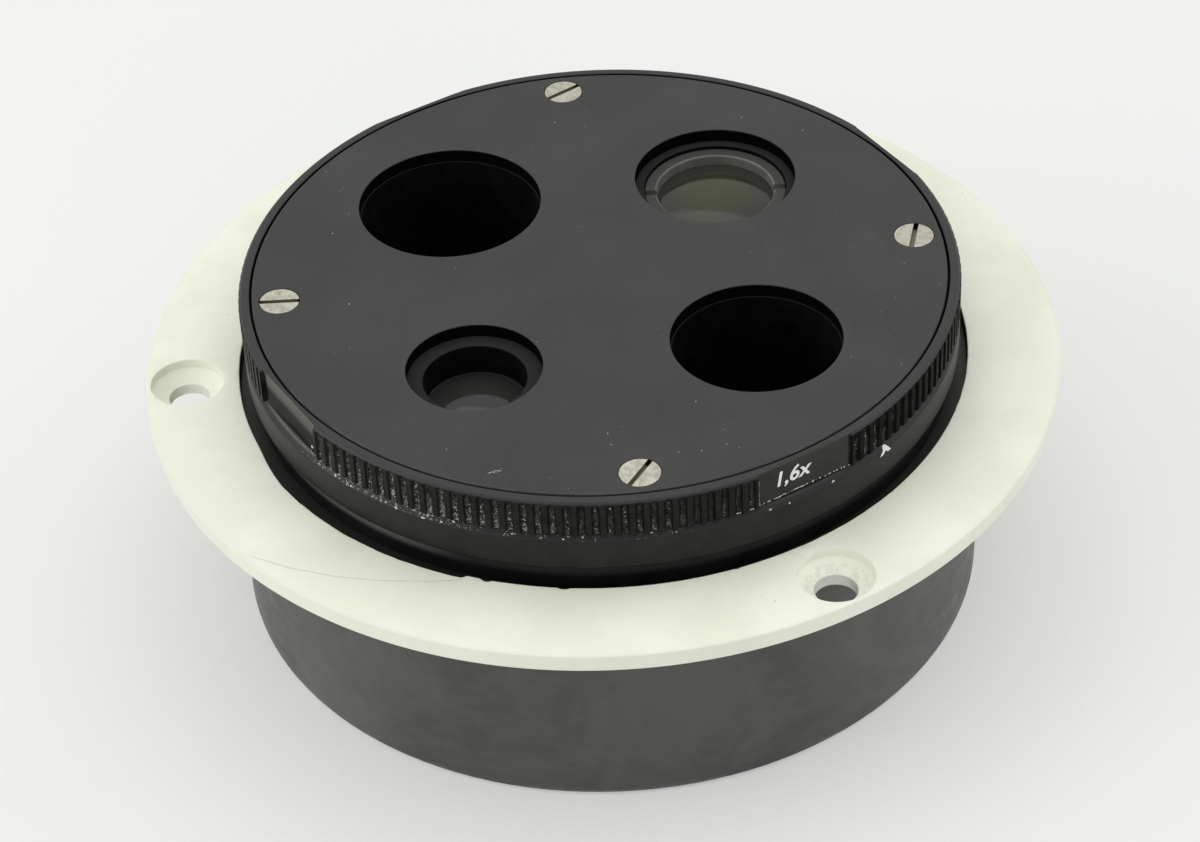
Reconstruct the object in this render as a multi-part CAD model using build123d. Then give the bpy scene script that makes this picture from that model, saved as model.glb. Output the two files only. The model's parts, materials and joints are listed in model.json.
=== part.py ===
from build123d import *
from math import cos, radians, sin, sqrt, tan
import os

# Four-position magnification changer turret.
# Units are millimetres. Z is the turning axis, z = 0 is the lower edge of the drum housing.
# Angles are counted from +X towards +Y, seen from above.

# ---------------------------------------------------------------- overall sizes
DRUM_H = 31.84           # drum height, up to the underside of the mounting flange
FLANGE_T = 4.26          # full thickness of the mounting flange
GRIP_H = 5.5             # height of the grip ring
BEAD_H = 5.3             # height of the wide part of the index ring
BEAD_LIFT = 2.1          # flange top to the underside of that wide part

# ---------------------------------------------------------------- clearances
RUN_GAP = 0.3            # faces that turn past each other
RUN_GAP_R = 0.4          # walls that turn inside each other
SEAT_FIT = 0.05          # a piece seated in a bore or on a spigot
SLIP_FIT = 0.15          # a tube through a plate
THREAD_FIT = 0.02        # a screw in its thread
HOLE_FIT = 0.2           # a screw through a plate
BALL_FIT = 0.05          # a ball in its groove
CAGE_FIT = 0.12          # a cage round its balls
EDGE = 0.2               # small edge break

# ---------------------------------------------------------------- screws: shank, head and head height
M2_R = 1.0
M2_HEAD_R = 1.9
M2_HEAD_H = 1.4
M25_R = 1.25
M25_HEAD_R = 2.25
M25_HEAD_H = 1.7
M3_R = 1.5
M3_HEAD_R = 2.75
M3_HEAD_H = 1.65
M3_LAND = 0.35           # plate under a countersunk head
SINK = 0.2               # a screw head below the face round it
POST_THREAD = 6.0
SLOT_W = 0.7
SLOT_DEPTH = 0.7

# ---------------------------------------------------------------- optical positions
POSITIONS = 4
STEP = 360.0 / POSITIONS
REST_ANGLE = 50.0        # first optical position, as the turret stands
OFF_CLICK = 16.9         # the turret stands this much short of its click stop
LENS_HOLE_ROOM = 1.4     # plate hole beyond the glass
BIG_HOLE_R = 13.0
REDUCER_STEP = 2.25      # plate hole beyond the cap aperture
SMALL_HOLE_R = 11.7
TUBE_STEP = 0.2          # plate hole to tube bore
TUBE_WALL = 1.3
BARREL_WALL = 2.1        # outside of the two lens barrels, beyond the glass
BARREL_FLANGE_T = 2.0
BARREL_FLANGE = 1.0      # flange beyond the tube
BARREL_CLEAR = 4.5       # barrel end above the base plate
REDUCER_APERTURE = 1.7   # cap aperture inside its glass
REDUCER_WELL = 4.5       # cap aperture to its lens
GLASS_R = 10.1
SMALL_GLASS = 1.4        # reducer's upper glass inside the other glasses
GLASS_EDGE = 3.4
RETAINER_W = 1.65        # width of a retaining ring
GLASS_CROWN = 0.9
GLASS_RIM = 0.2          # flat rim left inside the retaining ring
RETAINER_T = 1.6
RETAINER_SLOT = 1.2
LENS_DEPTH = 0.5         # retaining ring below the barrel's end

# ---------------------------------------------------------------- spindle and bearings
SPINDLE_R = 5.0
SPINDLE_FLANGE_T = 2.5
SPINDLE_SHOULDER = 1.2   # shoulder beyond the shaft
SPINDLE_SHOULDER_H = 4.0
SPINDLE_BOSS = 1.0       # boss beyond the shaft
SPINDLE_BOSS_INSET = 0.3
SPINDLE_SCREW_COUNT = 3
SPINDLE_END = 0.5        # spindle beyond its nut, and its end chamfer
SPINDLE_HEADROOM = 3.8   # spindle end to the top plate
BEARING_OUTER_R = 9.5
BEARING_T = 5.0
BALL_SHARE = 0.2645      # ball radius, of the space between spindle and hub
BALL_COUNT = 9
GROOVE_SINK = 0.55       # how far a ball sits into each race
CAGE_T = 3.8
CAGE_WALL = 0.5
CIRCLIP_T = 0.9
CIRCLIP_DEPTH = 0.6
CIRCLIP_LAND = 1.0       # circlip inside the bearing's outside
CIRCLIP_GAP = 3.0
HUB_WALL = 1.9
HUB_SHOULDER = 1.2
HUB_LIP = 1.0            # hub below the circlip
WASHER_T = 1.0
NUT_T = 3.0
NUT_WALL = 3.0           # nut across flats, beyond the thread

# ---------------------------------------------------------------- walls of the turret, from the hub outwards
HUB_ROOM = 0.35          # hub to the nearest barrel flange
DISC_RIM = 1.25          # detent disc outside its largest bore
SKIRT_ROOM = 0.25
SKIRT_WALL = 3.0
SKIRT_LIFT = 2.0         # skirt above the flange's ledge
WEB_T = 4.0
POST_R = 4.0
POST_INSET = 6.5         # post axis inside the disc's rim
NECK_WALL = 3.1
BEAD_REACH = 1.0         # bead beyond the neck
RIM_W = 1.8              # grip crest to the top plate's edge
PLATE_EDGE_GAP = 0.2     # plate edge to the grip ring
PLATE_SCREW_INSET = 3.9
PLATE_SCREW_SHORT = 0.5  # screw shorter than the grip is high
PLATE_SCREW_ANGLE = 5.0
PLATE_SLOTS = (77.0, 35.0, 0.0, 58.5)    # where each slot was left when tightened
LEDGE_T = 1.9            # inner ledge of the grip ring, clamped under the plate
LEDGE_GRIP = 1.15        # how far the ledge reaches in under the plate
FLUTE_COUNT = 34         # grip flutes between two lands
FLUTE_DEPTH = 0.55
FLUTE_SHARE = 0.6        # of the pitch; the rest is crest
GRIP_EDGE = 0.45
LAND_ANGLE = 30.8        # first label land
LAND_HALF = 8.5          # half width of a land, degrees
LAND_DEPTH = 1.0         # flat face inside the crest

# ---------------------------------------------------------------- housing
DRUM_WALL = 3.5
DRUM_LIP_T = 3.5
DRUM_EDGE = 0.6
HEAD_ROOM = 0.45         # drum wall to the flange screws' heads
BASE_LEDGE_W = 6.3
BASE_LEDGE_T = 3.5
BASE_T = 4.0
BASE_INSET = 0.5
BASE_SCREW_INSET = 3.4
BASE_SCREW_COUNT = 6
BASE_SCREW_GAP = 0.3     # screw end to the ledge's upper face
BEAM_R = 11.0
FLANGE_GAP = 1.2         # painted edge to the bead
FLANGE_LEDGE_T = 2.16    # hidden inner ledge, under the index ring
FLANGE_RIM_H = 2.36
FLANGE_CHAMFER = 2.2
FLANGE_HOLE_GAP = 0.05   # hole recess outside the drum wall
FLANGE_HOLE_RIM = 0.53   # hole recess to the rim
FLANGE_HOLE_ANGLES = (61.7, 184.1, 299.2)
FLANGE_HOLE_R = 2.85
FLANGE_RECESS_R = 5.15
FLANGE_RECESS_DEPTH = 1.3
DRILL_ANGLE = 120.0
RING_CHAMFER = 0.8
FLANGE_SCREW_COUNT = 6
FLANGE_SCREW_START = 30.0
FLANGE_SCREW_GRIP = 5.0  # thread in the index ring

# ---------------------------------------------------------------- click stop
DISC_T = 3.0
SLEEVE_DROP = 3.84       # drum lip to the click stop's sleeve
CLICK_ANGLE = 90.0       # where the plunger stands
NOTCH_DEPTH = 1.0
TIP_R = 1.9
TIP_GAP = 0.06
COLLAR = 0.5             # collar beyond the tip
COLLAR_T = 0.8
STEM_ROOM = 0.75         # stem inside the spring's wire
STEM_L = 1.0
SPRING_WIRE_R = 0.2
SPRING_INSET = 0.75      # spring's wire inside the collar
SPRING_L = 3.2
SPRING_TURNS = 3.5
SPRING_END = 0.01
SLEEVE_WALL = 1.1
SLEEVE_GAP = 2.0         # disc to the sleeve
SLEEVE_LIP = 1.3
SLEEVE_INSET = 0.3       # outer end below the drum's outside
ADJUSTER_STEP = 0.5      # adjuster beyond the collar
ADJUSTER_INSET = 0.2

# ---------------------------------------------------------------- radii that follow, from the hub outwards
BIG_TUBE_R = BIG_HOLE_R - TUBE_STEP + TUBE_WALL
SMALL_TUBE_R = SMALL_HOLE_R - TUBE_STEP + TUBE_WALL
BARREL_R = GLASS_R + BARREL_WALL
LENS_HOLE_R = GLASS_R + LENS_HOLE_ROOM
GLASS_CLEAR_R = GLASS_R - RETAINER_W
SMALL_GLASS_R = GLASS_R - SMALL_GLASS
REDUCER_APERTURE_R = SMALL_GLASS_R - REDUCER_APERTURE
REDUCER_HOLE_R = REDUCER_APERTURE_R + REDUCER_STEP
WIDEST_R = max(BIG_TUBE_R, SMALL_TUBE_R, BARREL_R)
SEAT_R = WIDEST_R + BARREL_FLANGE + SLIP_FIT
HUB_R = BEARING_OUTER_R + HUB_WALL
PITCH_R = HUB_R + HUB_ROOM + SEAT_R
DISC_R = PITCH_R + WIDEST_R + SLIP_FIT + DISC_RIM
SKIRT_R = PITCH_R + SEAT_R + SKIRT_ROOM + SKIRT_WALL
DRUM_LIP_R = SKIRT_R + RUN_GAP_R
NECK_R = DRUM_LIP_R + NECK_WALL
GRIP_R = NECK_R + BEAD_REACH
PLATE_R = GRIP_R - RIM_W
PLATE_SCREW_R = PLATE_R - PLATE_SCREW_INSET
FLANGE_SCREW_R = (DRUM_LIP_R + NECK_R) / 2
INNER_WALL_R = FLANGE_SCREW_R + M2_HEAD_R + HEAD_ROOM
DRUM_R = INNER_WALL_R + DRUM_WALL
BASE_LEDGE_R = INNER_WALL_R - BASE_LEDGE_W
BASE_SCREW_R = INNER_WALL_R - BASE_SCREW_INSET
FLANGE_OPEN_R = GRIP_R + FLANGE_GAP
FLANGE_HOLE_PITCH_R = DRUM_R + FLANGE_HOLE_GAP + FLANGE_RECESS_R
FLANGE_R = FLANGE_HOLE_PITCH_R + FLANGE_RECESS_R + FLANGE_HOLE_RIM
POST_PITCH_R = DISC_R - POST_INSET
SPINDLE_SHOULDER_R = SPINDLE_R + SPINDLE_SHOULDER
SPINDLE_BOSS_R = SPINDLE_R + SPINDLE_BOSS
SPINDLE_SCREW_R = (SPINDLE_BOSS_R + HUB_R) / 2
BALL_PITCH_R = (SPINDLE_R + BEARING_OUTER_R) / 2
BALL_R = BALL_SHARE * (BEARING_OUTER_R - SPINDLE_R)
LAND_D = GRIP_R - LAND_DEPTH
COLLAR_R = TIP_R + COLLAR
ADJUSTER_R = COLLAR_R + ADJUSTER_STEP
SLEEVE_R = ADJUSTER_R + SLEEVE_WALL
SPRING_R = COLLAR_R - SPRING_INSET
STEM_R = SPRING_R - STEM_ROOM

# ---------------------------------------------------------------- levels that follow
FLANGE_TOP = DRUM_H + FLANGE_T
FLANGE_SEAT = DRUM_H + FLANGE_LEDGE_T
BEAD_Z = FLANGE_TOP + BEAD_LIFT
RING_TOP = BEAD_Z + BEAD_H
TURRET_Z = RING_TOP + RUN_GAP
TOP_Z = TURRET_Z + GRIP_H
PLATE_T = M3_HEAD_H + M3_LAND
PLATE_Z = TOP_Z - PLATE_T
PLATE_SCREW_L = GRIP_H - PLATE_SCREW_SHORT
BARREL_SEAT_Z = PLATE_Z - BARREL_FLANGE_T
WEB_Z = BARREL_SEAT_Z - WEB_T
LEDGE_Z = PLATE_Z - LEDGE_T
BASE_TOP = BASE_INSET + BASE_T
BARREL_END_Z = BASE_TOP + BARREL_CLEAR
LOWER_BEARING_Z = BASE_TOP + SPINDLE_FLANGE_T + SPINDLE_SHOULDER_H
HUB_Z = LOWER_BEARING_Z - CIRCLIP_T - HUB_LIP
SPINDLE_TOP = PLATE_Z - SPINDLE_HEADROOM
NUT_Z = SPINDLE_TOP - SPINDLE_END - NUT_T
WASHER_Z = NUT_Z - WASHER_T
UPPER_BEARING_Z = WASHER_Z - BEARING_T
CLICK_Z = DRUM_H - DRUM_LIP_T - SLEEVE_DROP - SLEEVE_R
DISC_Z = CLICK_Z - DISC_T / 2
DISC_TOP = DISC_Z + DISC_T

# optical positions: angle, plate hole, tube outside
LENS_AT, OPEN_BIG_AT, REDUCER_AT, OPEN_SMALL_AT = (REST_ANGLE + STEP * k for k in range(POSITIONS))
STATIONS = (
    (LENS_AT, LENS_HOLE_R, BARREL_R),
    (OPEN_BIG_AT, BIG_HOLE_R, BIG_TUBE_R),
    (REDUCER_AT, REDUCER_HOLE_R, BARREL_R),
    (OPEN_SMALL_AT, SMALL_HOLE_R, SMALL_TUBE_R),
)


# ---------------------------------------------------------------- small helpers
def polar(radius, angle):
    """Point in the plan view."""
    return (radius * cos(radians(angle)), radius * sin(radians(angle)))


def at(radius, angle, z=0.0):
    """Location on a circle about the turning axis."""
    return Location((*polar(radius, angle), z))


def around(count, start=0.0):
    """Even angles about the turning axis."""
    return [start + 360.0 * k / count for k in range(count)]


def disc(radius, z0, z1):
    """Solid cylinder about the local axis."""
    return Pos(0, 0, (z0 + z1) / 2) * Cylinder(radius, z1 - z0)


def drill(radius, z0, z1):
    """Cutter for a hole that breaks out of both faces."""
    return disc(radius, z0 - 1, z1 + 1)


def ring(outer, inner, z0, z1):
    """Plain ring between two levels."""
    return disc(outer, z0, z1) - drill(inner, z0, z1)


def turned(points):
    """Solid turned from an outline of (radius, z) points."""
    outline = make_face(Polyline(*[(r, 0, z) for r, z in points], close=True))
    return revolve(outline, Axis.Z)


def turn_over(solid, z):
    """The same piece upside down about a level."""
    return Pos(0, 0, 2 * z) * Rot(180, 0, 0) * solid


def rim_chamfer(solid, radius, z, size):
    """Chamfer the round edge at one radius and level."""
    edges = [
        e for e in solid.edges().filter_by(GeomType.CIRCLE)
        if abs(e.radius - radius) < 1e-4 and abs(e.center(CenterOf.BOUNDING_BOX).Z - z) < 1e-4
    ]
    return chamfer(edges, size)


def group(solids):
    """Separate solids that share one node."""
    return Compound(children=list(solids))


def slot(length, z_face, angle):
    """Screwdriver slot cut into a head face."""
    return Location((0, 0, z_face), (0, 0, angle)) * Box(length, SLOT_W, 2 * SLOT_DEPTH)


def countersunk(radius, head_r, head_h, length, slot_angle):
    """Countersunk screw, head face at z = 0, point downwards."""
    point = 0.4
    outline = [
        (0, 0), (head_r, 0), (head_r, -EDGE), (radius, -head_h),
        (radius, point - length), (radius - point, -length), (0, -length),
    ]
    return turned(outline) - slot(4 * head_r, 0, slot_angle)


def countersink(radius, head_r, head_h, depth):
    """Cutter for a countersunk hole, face at z = 0, going down."""
    rim_r = head_r + HOLE_FIT / 2
    rim_z = -EDGE - SEAT_FIT
    hole_r = radius + HOLE_FIT
    return turned([
        (0, 1), (rim_r, 1), (rim_r, rim_z), (hole_r, rim_z - head_h), (hole_r, -depth - 1), (0, -depth - 1),
    ])


def cheese_head(radius, head_r, head_h, length, slot_angle=0.0):
    """Slotted cheese-head screw, head seat at z = 0, head below, shank upwards."""
    head = rim_chamfer(disc(head_r, -head_h, 0), head_r, -head_h, EDGE)
    return head + disc(radius, 0, length) - slot(4 * head_r, -head_h, slot_angle)


def dome(radius, rise, z, way):
    """Slice of a sphere on a flat face; way is 1 upwards or -1 downwards."""
    sphere_r = (radius ** 2 + rise ** 2) / (2 * rise)
    slab = disc(radius + 1, min(z, z + way * 2 * rise), max(z, z + way * 2 * rise))
    return Pos(0, 0, z + way * (rise - sphere_r)) * Sphere(sphere_r) & slab


def lens(radius, clear_r, z, top, bottom):
    """Round lens with a flat rim on each side; a face is convex (1) or hollow (-1) inside its rim."""
    body = disc(radius, z, z + GLASS_EDGE)
    for level, way, form in ((z + GLASS_EDGE, 1, top), (z, -1, bottom)):
        if form > 0:
            body += dome(clear_r - GLASS_RIM, GLASS_CROWN, level, way)
        else:
            body -= dome(clear_r - GLASS_RIM, GLASS_CROWN, level, -way)
    return body


def retainer(outer, inner, z):
    """Threaded ring standing on a level, with two spanner slots in its upper face."""
    top = z + RETAINER_T
    body = rim_chamfer(ring(outer - THREAD_FIT, inner, z, top), inner, top, EDGE)
    return body - Pos(0, 0, top) * Box(4 * outer, RETAINER_SLOT, RETAINER_T)


# ---------------------------------------------------------------- housing
def drum_housing():
    """Turned cup: wall, inward lip on top, ledge for the base plate, hole for the click stop."""
    lip_z = DRUM_H - DRUM_LIP_T
    ledge_top = BASE_TOP + BASE_LEDGE_T
    body = turned([
        (DRUM_R - DRUM_EDGE, 0), (DRUM_R, DRUM_EDGE), (DRUM_R, DRUM_H), (DRUM_LIP_R, DRUM_H),
        (DRUM_LIP_R, lip_z), (INNER_WALL_R, lip_z), (INNER_WALL_R, ledge_top), (BASE_LEDGE_R, ledge_top),
        (BASE_LEDGE_R, BASE_TOP), (INNER_WALL_R, BASE_TOP), (INNER_WALL_R, 0),
    ])
    for angle in around(FLANGE_SCREW_COUNT, FLANGE_SCREW_START):
        body -= at(FLANGE_SCREW_R, angle) * drill(M2_R + HOLE_FIT, lip_z, DRUM_H)
    for angle in around(BASE_SCREW_COUNT):
        body -= at(BASE_SCREW_R, angle) * drill(M3_R + THREAD_FIT, BASE_TOP, ledge_top)
    return body - click_frame() * drill(SLEEVE_R + SEAT_FIT, INNER_WALL_R - 1, DRUM_R)


def flange_hole():
    """Screw hole with a round recess and a drill-point floor, cut down from the flange top."""
    cone = (FLANGE_RECESS_R - FLANGE_HOLE_R) / tan(radians(DRILL_ANGLE / 2))
    return turned([
        (0, 1), (FLANGE_RECESS_R, 1), (FLANGE_RECESS_R, -FLANGE_RECESS_DEPTH),
        (FLANGE_HOLE_R, -FLANGE_RECESS_DEPTH - cone), (FLANGE_HOLE_R, -FLANGE_T - 1), (0, -FLANGE_T - 1),
    ])


def mounting_flange():
    """Painted flange: rim, chamfered underside, hidden ledge under the index ring."""
    body = turned([
        (DRUM_LIP_R, DRUM_H), (FLANGE_R - FLANGE_CHAMFER, DRUM_H), (FLANGE_R, FLANGE_TOP - FLANGE_RIM_H),
        (FLANGE_R, FLANGE_TOP), (FLANGE_OPEN_R, FLANGE_TOP), (FLANGE_OPEN_R, FLANGE_SEAT),
        (DRUM_LIP_R, FLANGE_SEAT),
    ])
    for angle in FLANGE_HOLE_ANGLES:
        body -= at(FLANGE_HOLE_PITCH_R, angle, FLANGE_TOP) * flange_hole()
    for angle in around(FLANGE_SCREW_COUNT, FLANGE_SCREW_START):
        body -= at(FLANGE_SCREW_R, angle) * drill(M2_R + HOLE_FIT, DRUM_H, FLANGE_SEAT)
    return body


def index_ring():
    """Stationary black ring: neck in the flange, wide bead under the grip."""
    body = turned([
        (DRUM_LIP_R, FLANGE_SEAT), (NECK_R, FLANGE_SEAT), (NECK_R, BEAD_Z),
        (GRIP_R - EDGE, BEAD_Z), (GRIP_R, BEAD_Z + EDGE), (GRIP_R, RING_TOP - RING_CHAMFER),
        (GRIP_R - RING_CHAMFER, RING_TOP), (DRUM_LIP_R, RING_TOP),
    ])
    blind_end = FLANGE_SEAT + FLANGE_SCREW_GRIP + 0.5
    for angle in around(FLANGE_SCREW_COUNT, FLANGE_SCREW_START):
        body -= at(FLANGE_SCREW_R, angle) * disc(M2_R + THREAD_FIT, FLANGE_SEAT - 1, blind_end)
    return body


def flange_screws():
    """Screws from inside the drum, through lip and flange, into the index ring."""
    seat = DRUM_H - DRUM_LIP_T
    length = FLANGE_SEAT + FLANGE_SCREW_GRIP - seat
    return group(
        at(FLANGE_SCREW_R, angle, seat) * cheese_head(M2_R, M2_HEAD_R, M2_HEAD_H, length)
        for angle in around(FLANGE_SCREW_COUNT, FLANGE_SCREW_START)
    )


def base_plate():
    """Bottom cover with the beam port, the spindle seat and its screw holes."""
    body = disc(INNER_WALL_R - SLIP_FIT, BASE_INSET, BASE_TOP)
    body -= drill(SPINDLE_BOSS_R + SEAT_FIT, BASE_INSET, BASE_TOP)
    body -= at(PITCH_R, LENS_AT + OFF_CLICK) * drill(BEAM_R, BASE_INSET, BASE_TOP)
    for angle in around(BASE_SCREW_COUNT):
        hole = Rot(180, 0, 0) * countersink(M3_R, M3_HEAD_R, M3_HEAD_H, BASE_T)
        body -= at(BASE_SCREW_R, angle, BASE_INSET) * hole
    for angle in around(SPINDLE_SCREW_COUNT, REST_ANGLE - 20):
        hole = drill(M25_R + HOLE_FIT, BASE_INSET, BASE_TOP)
        hole += disc(M25_HEAD_R + HOLE_FIT, BASE_INSET - 1, BASE_INSET + SINK + M25_HEAD_H)
        body -= at(SPINDLE_SCREW_R, angle) * hole
    return body


def base_plate_screws():
    """Countersunk screws from below into the drum's ledge."""
    length = BASE_T + BASE_LEDGE_T - BASE_SCREW_GAP
    return group(
        at(BASE_SCREW_R, angle, BASE_INSET + SEAT_FIT) * Rot(180, 0, 0)
        * countersunk(M3_R, M3_HEAD_R, M3_HEAD_H, length, 20 * k)
        for k, angle in enumerate(around(BASE_SCREW_COUNT))
    )


# ---------------------------------------------------------------- spindle and bearings
def spindle():
    """Fixed centre shaft with a flange on the base plate and a shoulder under the lower bearing."""
    boss_z = BASE_INSET + SPINDLE_BOSS_INSET
    flange_top = BASE_TOP + SPINDLE_FLANGE_T
    body = turned([
        (0, boss_z), (SPINDLE_BOSS_R, boss_z), (SPINDLE_BOSS_R, BASE_TOP), (HUB_R, BASE_TOP),
        (HUB_R, flange_top), (SPINDLE_SHOULDER_R, flange_top), (SPINDLE_SHOULDER_R, LOWER_BEARING_Z),
        (SPINDLE_R, LOWER_BEARING_Z), (SPINDLE_R, SPINDLE_TOP - SPINDLE_END),
        (SPINDLE_R - SPINDLE_END, SPINDLE_TOP), (0, SPINDLE_TOP),
    ])
    for angle in around(SPINDLE_SCREW_COUNT, REST_ANGLE - 20):
        body -= at(SPINDLE_SCREW_R, angle) * drill(M25_R + THREAD_FIT, BASE_TOP, flange_top)
    return body


def spindle_screws():
    """Screws from below that hold the spindle's flange on the base plate."""
    seat = BASE_INSET + SINK + M25_HEAD_H
    length = BASE_TOP + SPINDLE_FLANGE_T - BASE_SCREW_GAP - seat
    return group(
        at(SPINDLE_SCREW_R, angle, seat) * cheese_head(M25_R, M25_HEAD_R, M25_HEAD_H, length, 30 * k)
        for k, angle in enumerate(around(SPINDLE_SCREW_COUNT, REST_ANGLE - 20))
    )


def ball_groove(z):
    """Groove that the balls of one bearing run in."""
    return Pos(0, 0, z + BEARING_T / 2) * Torus(BALL_PITCH_R, BALL_R + BALL_FIT)


def race_inner(z):
    """Inner race, seated on the spindle."""
    outer = BALL_PITCH_R - BALL_R + GROOVE_SINK
    return ring(outer, SPINDLE_R + THREAD_FIT, z, z + BEARING_T) - ball_groove(z)


def race_outer(z):
    """Outer race, seated in the carrier's hub."""
    inner = BALL_PITCH_R + BALL_R - GROOVE_SINK
    return ring(BEARING_OUTER_R, inner, z, z + BEARING_T) - ball_groove(z)


def bearing_balls(z):
    """Balls of one bearing."""
    return group(at(BALL_PITCH_R, angle, z + BEARING_T / 2) * Sphere(BALL_R) for angle in around(BALL_COUNT))


def bearing_cage(z):
    """Cage that spaces the balls of one bearing."""
    middle = z + BEARING_T / 2
    half = CAGE_WALL / 2
    body = ring(BALL_PITCH_R + half, BALL_PITCH_R - half, middle - CAGE_T / 2, middle + CAGE_T / 2)
    for angle in around(BALL_COUNT):
        pocket = Pos(BALL_PITCH_R, 0, middle) * Rot(0, 90, 0) * Cylinder(BALL_R + CAGE_FIT, 2 * BALL_R)
        body -= Rot(0, 0, angle) * pocket
    return body


def bearing_spacer():
    """Sleeve between the two inner races."""
    return ring(SPINDLE_SHOULDER_R, SPINDLE_R + SLIP_FIT, LOWER_BEARING_Z + BEARING_T, UPPER_BEARING_Z)


def hub_circlip():
    """Spring ring in the hub, open at one side, that keeps the lower bearing in."""
    outer = BEARING_OUTER_R + CIRCLIP_DEPTH - SEAT_FIT
    z0 = LOWER_BEARING_Z - CIRCLIP_T + SEAT_FIT
    z1 = LOWER_BEARING_Z - SEAT_FIT
    body = ring(outer, BEARING_OUTER_R - CIRCLIP_LAND, z0, z1)
    return body - Pos(outer, 0, z1) * Box(outer, CIRCLIP_GAP, 4 * CIRCLIP_T)


def spindle_washer():
    """Washer over the upper inner race."""
    return ring(SPINDLE_SHOULDER_R, SPINDLE_R + SLIP_FIT, WASHER_Z, NUT_Z)


def spindle_nut():
    """Hexagon nut that clamps the inner races."""
    flat_r = SPINDLE_R + NUT_WALL / 2
    prism = extrude(Pos(0, 0, NUT_Z) * RegularPolygon(flat_r, 6, major_radius=False), NUT_T)
    return prism - drill(SPINDLE_R + THREAD_FIT, NUT_Z, NUT_Z + NUT_T)


# ---------------------------------------------------------------- turret
def grip_outline():
    """Outline of the grip: hollow flutes with plain crests between flat label lands."""
    pitch = (STEP - 2 * LAND_HALF) / FLUTE_COUNT
    crest = pitch * (1 - FLUTE_SHARE) / 2
    land_r = LAND_D / cos(radians(LAND_HALF))
    lines = []
    for land in around(POSITIONS, LAND_ANGLE):
        start = land + LAND_HALF
        end = land + STEP - LAND_HALF
        lines.append(Line(polar(land_r, start), polar(GRIP_R, start)))
        for n in range(FLUTE_COUNT):
            a = start + n * pitch
            a_in, a_mid, a_out = a + crest, a + pitch / 2, a + pitch - crest
            lines.append(ThreePointArc(polar(GRIP_R, a), polar(GRIP_R, a + crest / 2), polar(GRIP_R, a_in)))
            lines.append(ThreePointArc(
                polar(GRIP_R, a_in), polar(GRIP_R - FLUTE_DEPTH, a_mid), polar(GRIP_R, a_out)
            ))
            lines.append(ThreePointArc(
                polar(GRIP_R, a_out), polar(GRIP_R, a_out + crest / 2), polar(GRIP_R, a + pitch)
            ))
        lines.append(Line(polar(GRIP_R, end), polar(land_r, end)))
        lines.append(Line(polar(land_r, end), polar(land_r, end + 2 * LAND_HALF)))
    return make_face(Wire(lines))


def knurled_ring():
    """Grip ring: flutes, four flat lands, inner ledge clamped under the plate."""
    blank = turned([
        (0, TURRET_Z), (GRIP_R + 1, TURRET_Z), (GRIP_R + 1, TOP_Z - 1 - GRIP_EDGE),
        (GRIP_R - GRIP_EDGE, TOP_Z), (0, TOP_Z),
    ])
    body = extrude(Pos(0, 0, TURRET_Z) * grip_outline(), GRIP_H) & blank
    ledge_r = PLATE_R - LEDGE_GRIP
    body -= disc(PLATE_R + PLATE_EDGE_GAP, PLATE_Z, TOP_Z + 1)
    body -= drill(ledge_r, TURRET_Z, TOP_Z)
    return body - disc(ledge_r + LEDGE_GRIP / 2 + SEAT_FIT, TURRET_Z - 1, LEDGE_Z)


def top_plate():
    """Cover plate with four optical holes and four countersunk screw holes."""
    body = rim_chamfer(disc(PLATE_R, PLATE_Z, TOP_Z), PLATE_R, TOP_Z, EDGE)
    for angle, hole_r, tube_r in STATIONS:
        body -= at(PITCH_R, angle) * drill(hole_r, PLATE_Z, TOP_Z)
    for angle in around(POSITIONS, PLATE_SCREW_ANGLE):
        body -= at(PLATE_SCREW_R, angle, TOP_Z) * countersink(M3_R, M3_HEAD_R, M3_HEAD_H, PLATE_T)
    return body


def top_plate_screws():
    """Slotted countersunk screws."""
    return group(
        at(PLATE_SCREW_R, angle, TOP_Z - SEAT_FIT)
        * countersunk(M3_R, M3_HEAD_R, M3_HEAD_H, PLATE_SCREW_L, slot_angle)
        for angle, slot_angle in zip(around(POSITIONS, PLATE_SCREW_ANGLE), PLATE_SLOTS)
    )


def turret_carrier():
    """Turning body: web, skirt, hub with two bearing seats, four posts for the detent disc."""
    skirt_z = FLANGE_SEAT + SKIRT_LIFT
    body = disc(PLATE_R - LEDGE_GRIP - SEAT_FIT, LEDGE_Z - 1, PLATE_Z)
    body += disc(PLATE_R - LEDGE_GRIP / 2, TURRET_Z, LEDGE_Z)
    body += disc(SKIRT_R, skirt_z, LEDGE_Z)
    body -= ring(SKIRT_R - SKIRT_WALL, HUB_R, skirt_z - 1, WEB_Z)
    body += disc(HUB_R, HUB_Z, WEB_Z)
    for angle in around(POSITIONS, REST_ANGLE + STEP / 2):
        body += at(POST_PITCH_R, angle) * disc(POST_R, DISC_TOP, WEB_Z + 1)
        body -= at(POST_PITCH_R, angle) * disc(M3_R + THREAD_FIT, DISC_TOP - 1, DISC_TOP + POST_THREAD + 1)
    for angle, hole_r, tube_r in STATIONS:
        body -= at(PITCH_R, angle) * disc(tube_r + SLIP_FIT, 0, TOP_Z)
        body -= at(PITCH_R, angle) * disc(tube_r + BARREL_FLANGE + SLIP_FIT, BARREL_SEAT_Z, TOP_Z)
    for angle in around(POSITIONS, PLATE_SCREW_ANGLE):
        body -= at(PLATE_SCREW_R, angle) * disc(M3_R + THREAD_FIT, TURRET_Z + EDGE, TOP_Z)
    return body - hub_bore()


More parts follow.
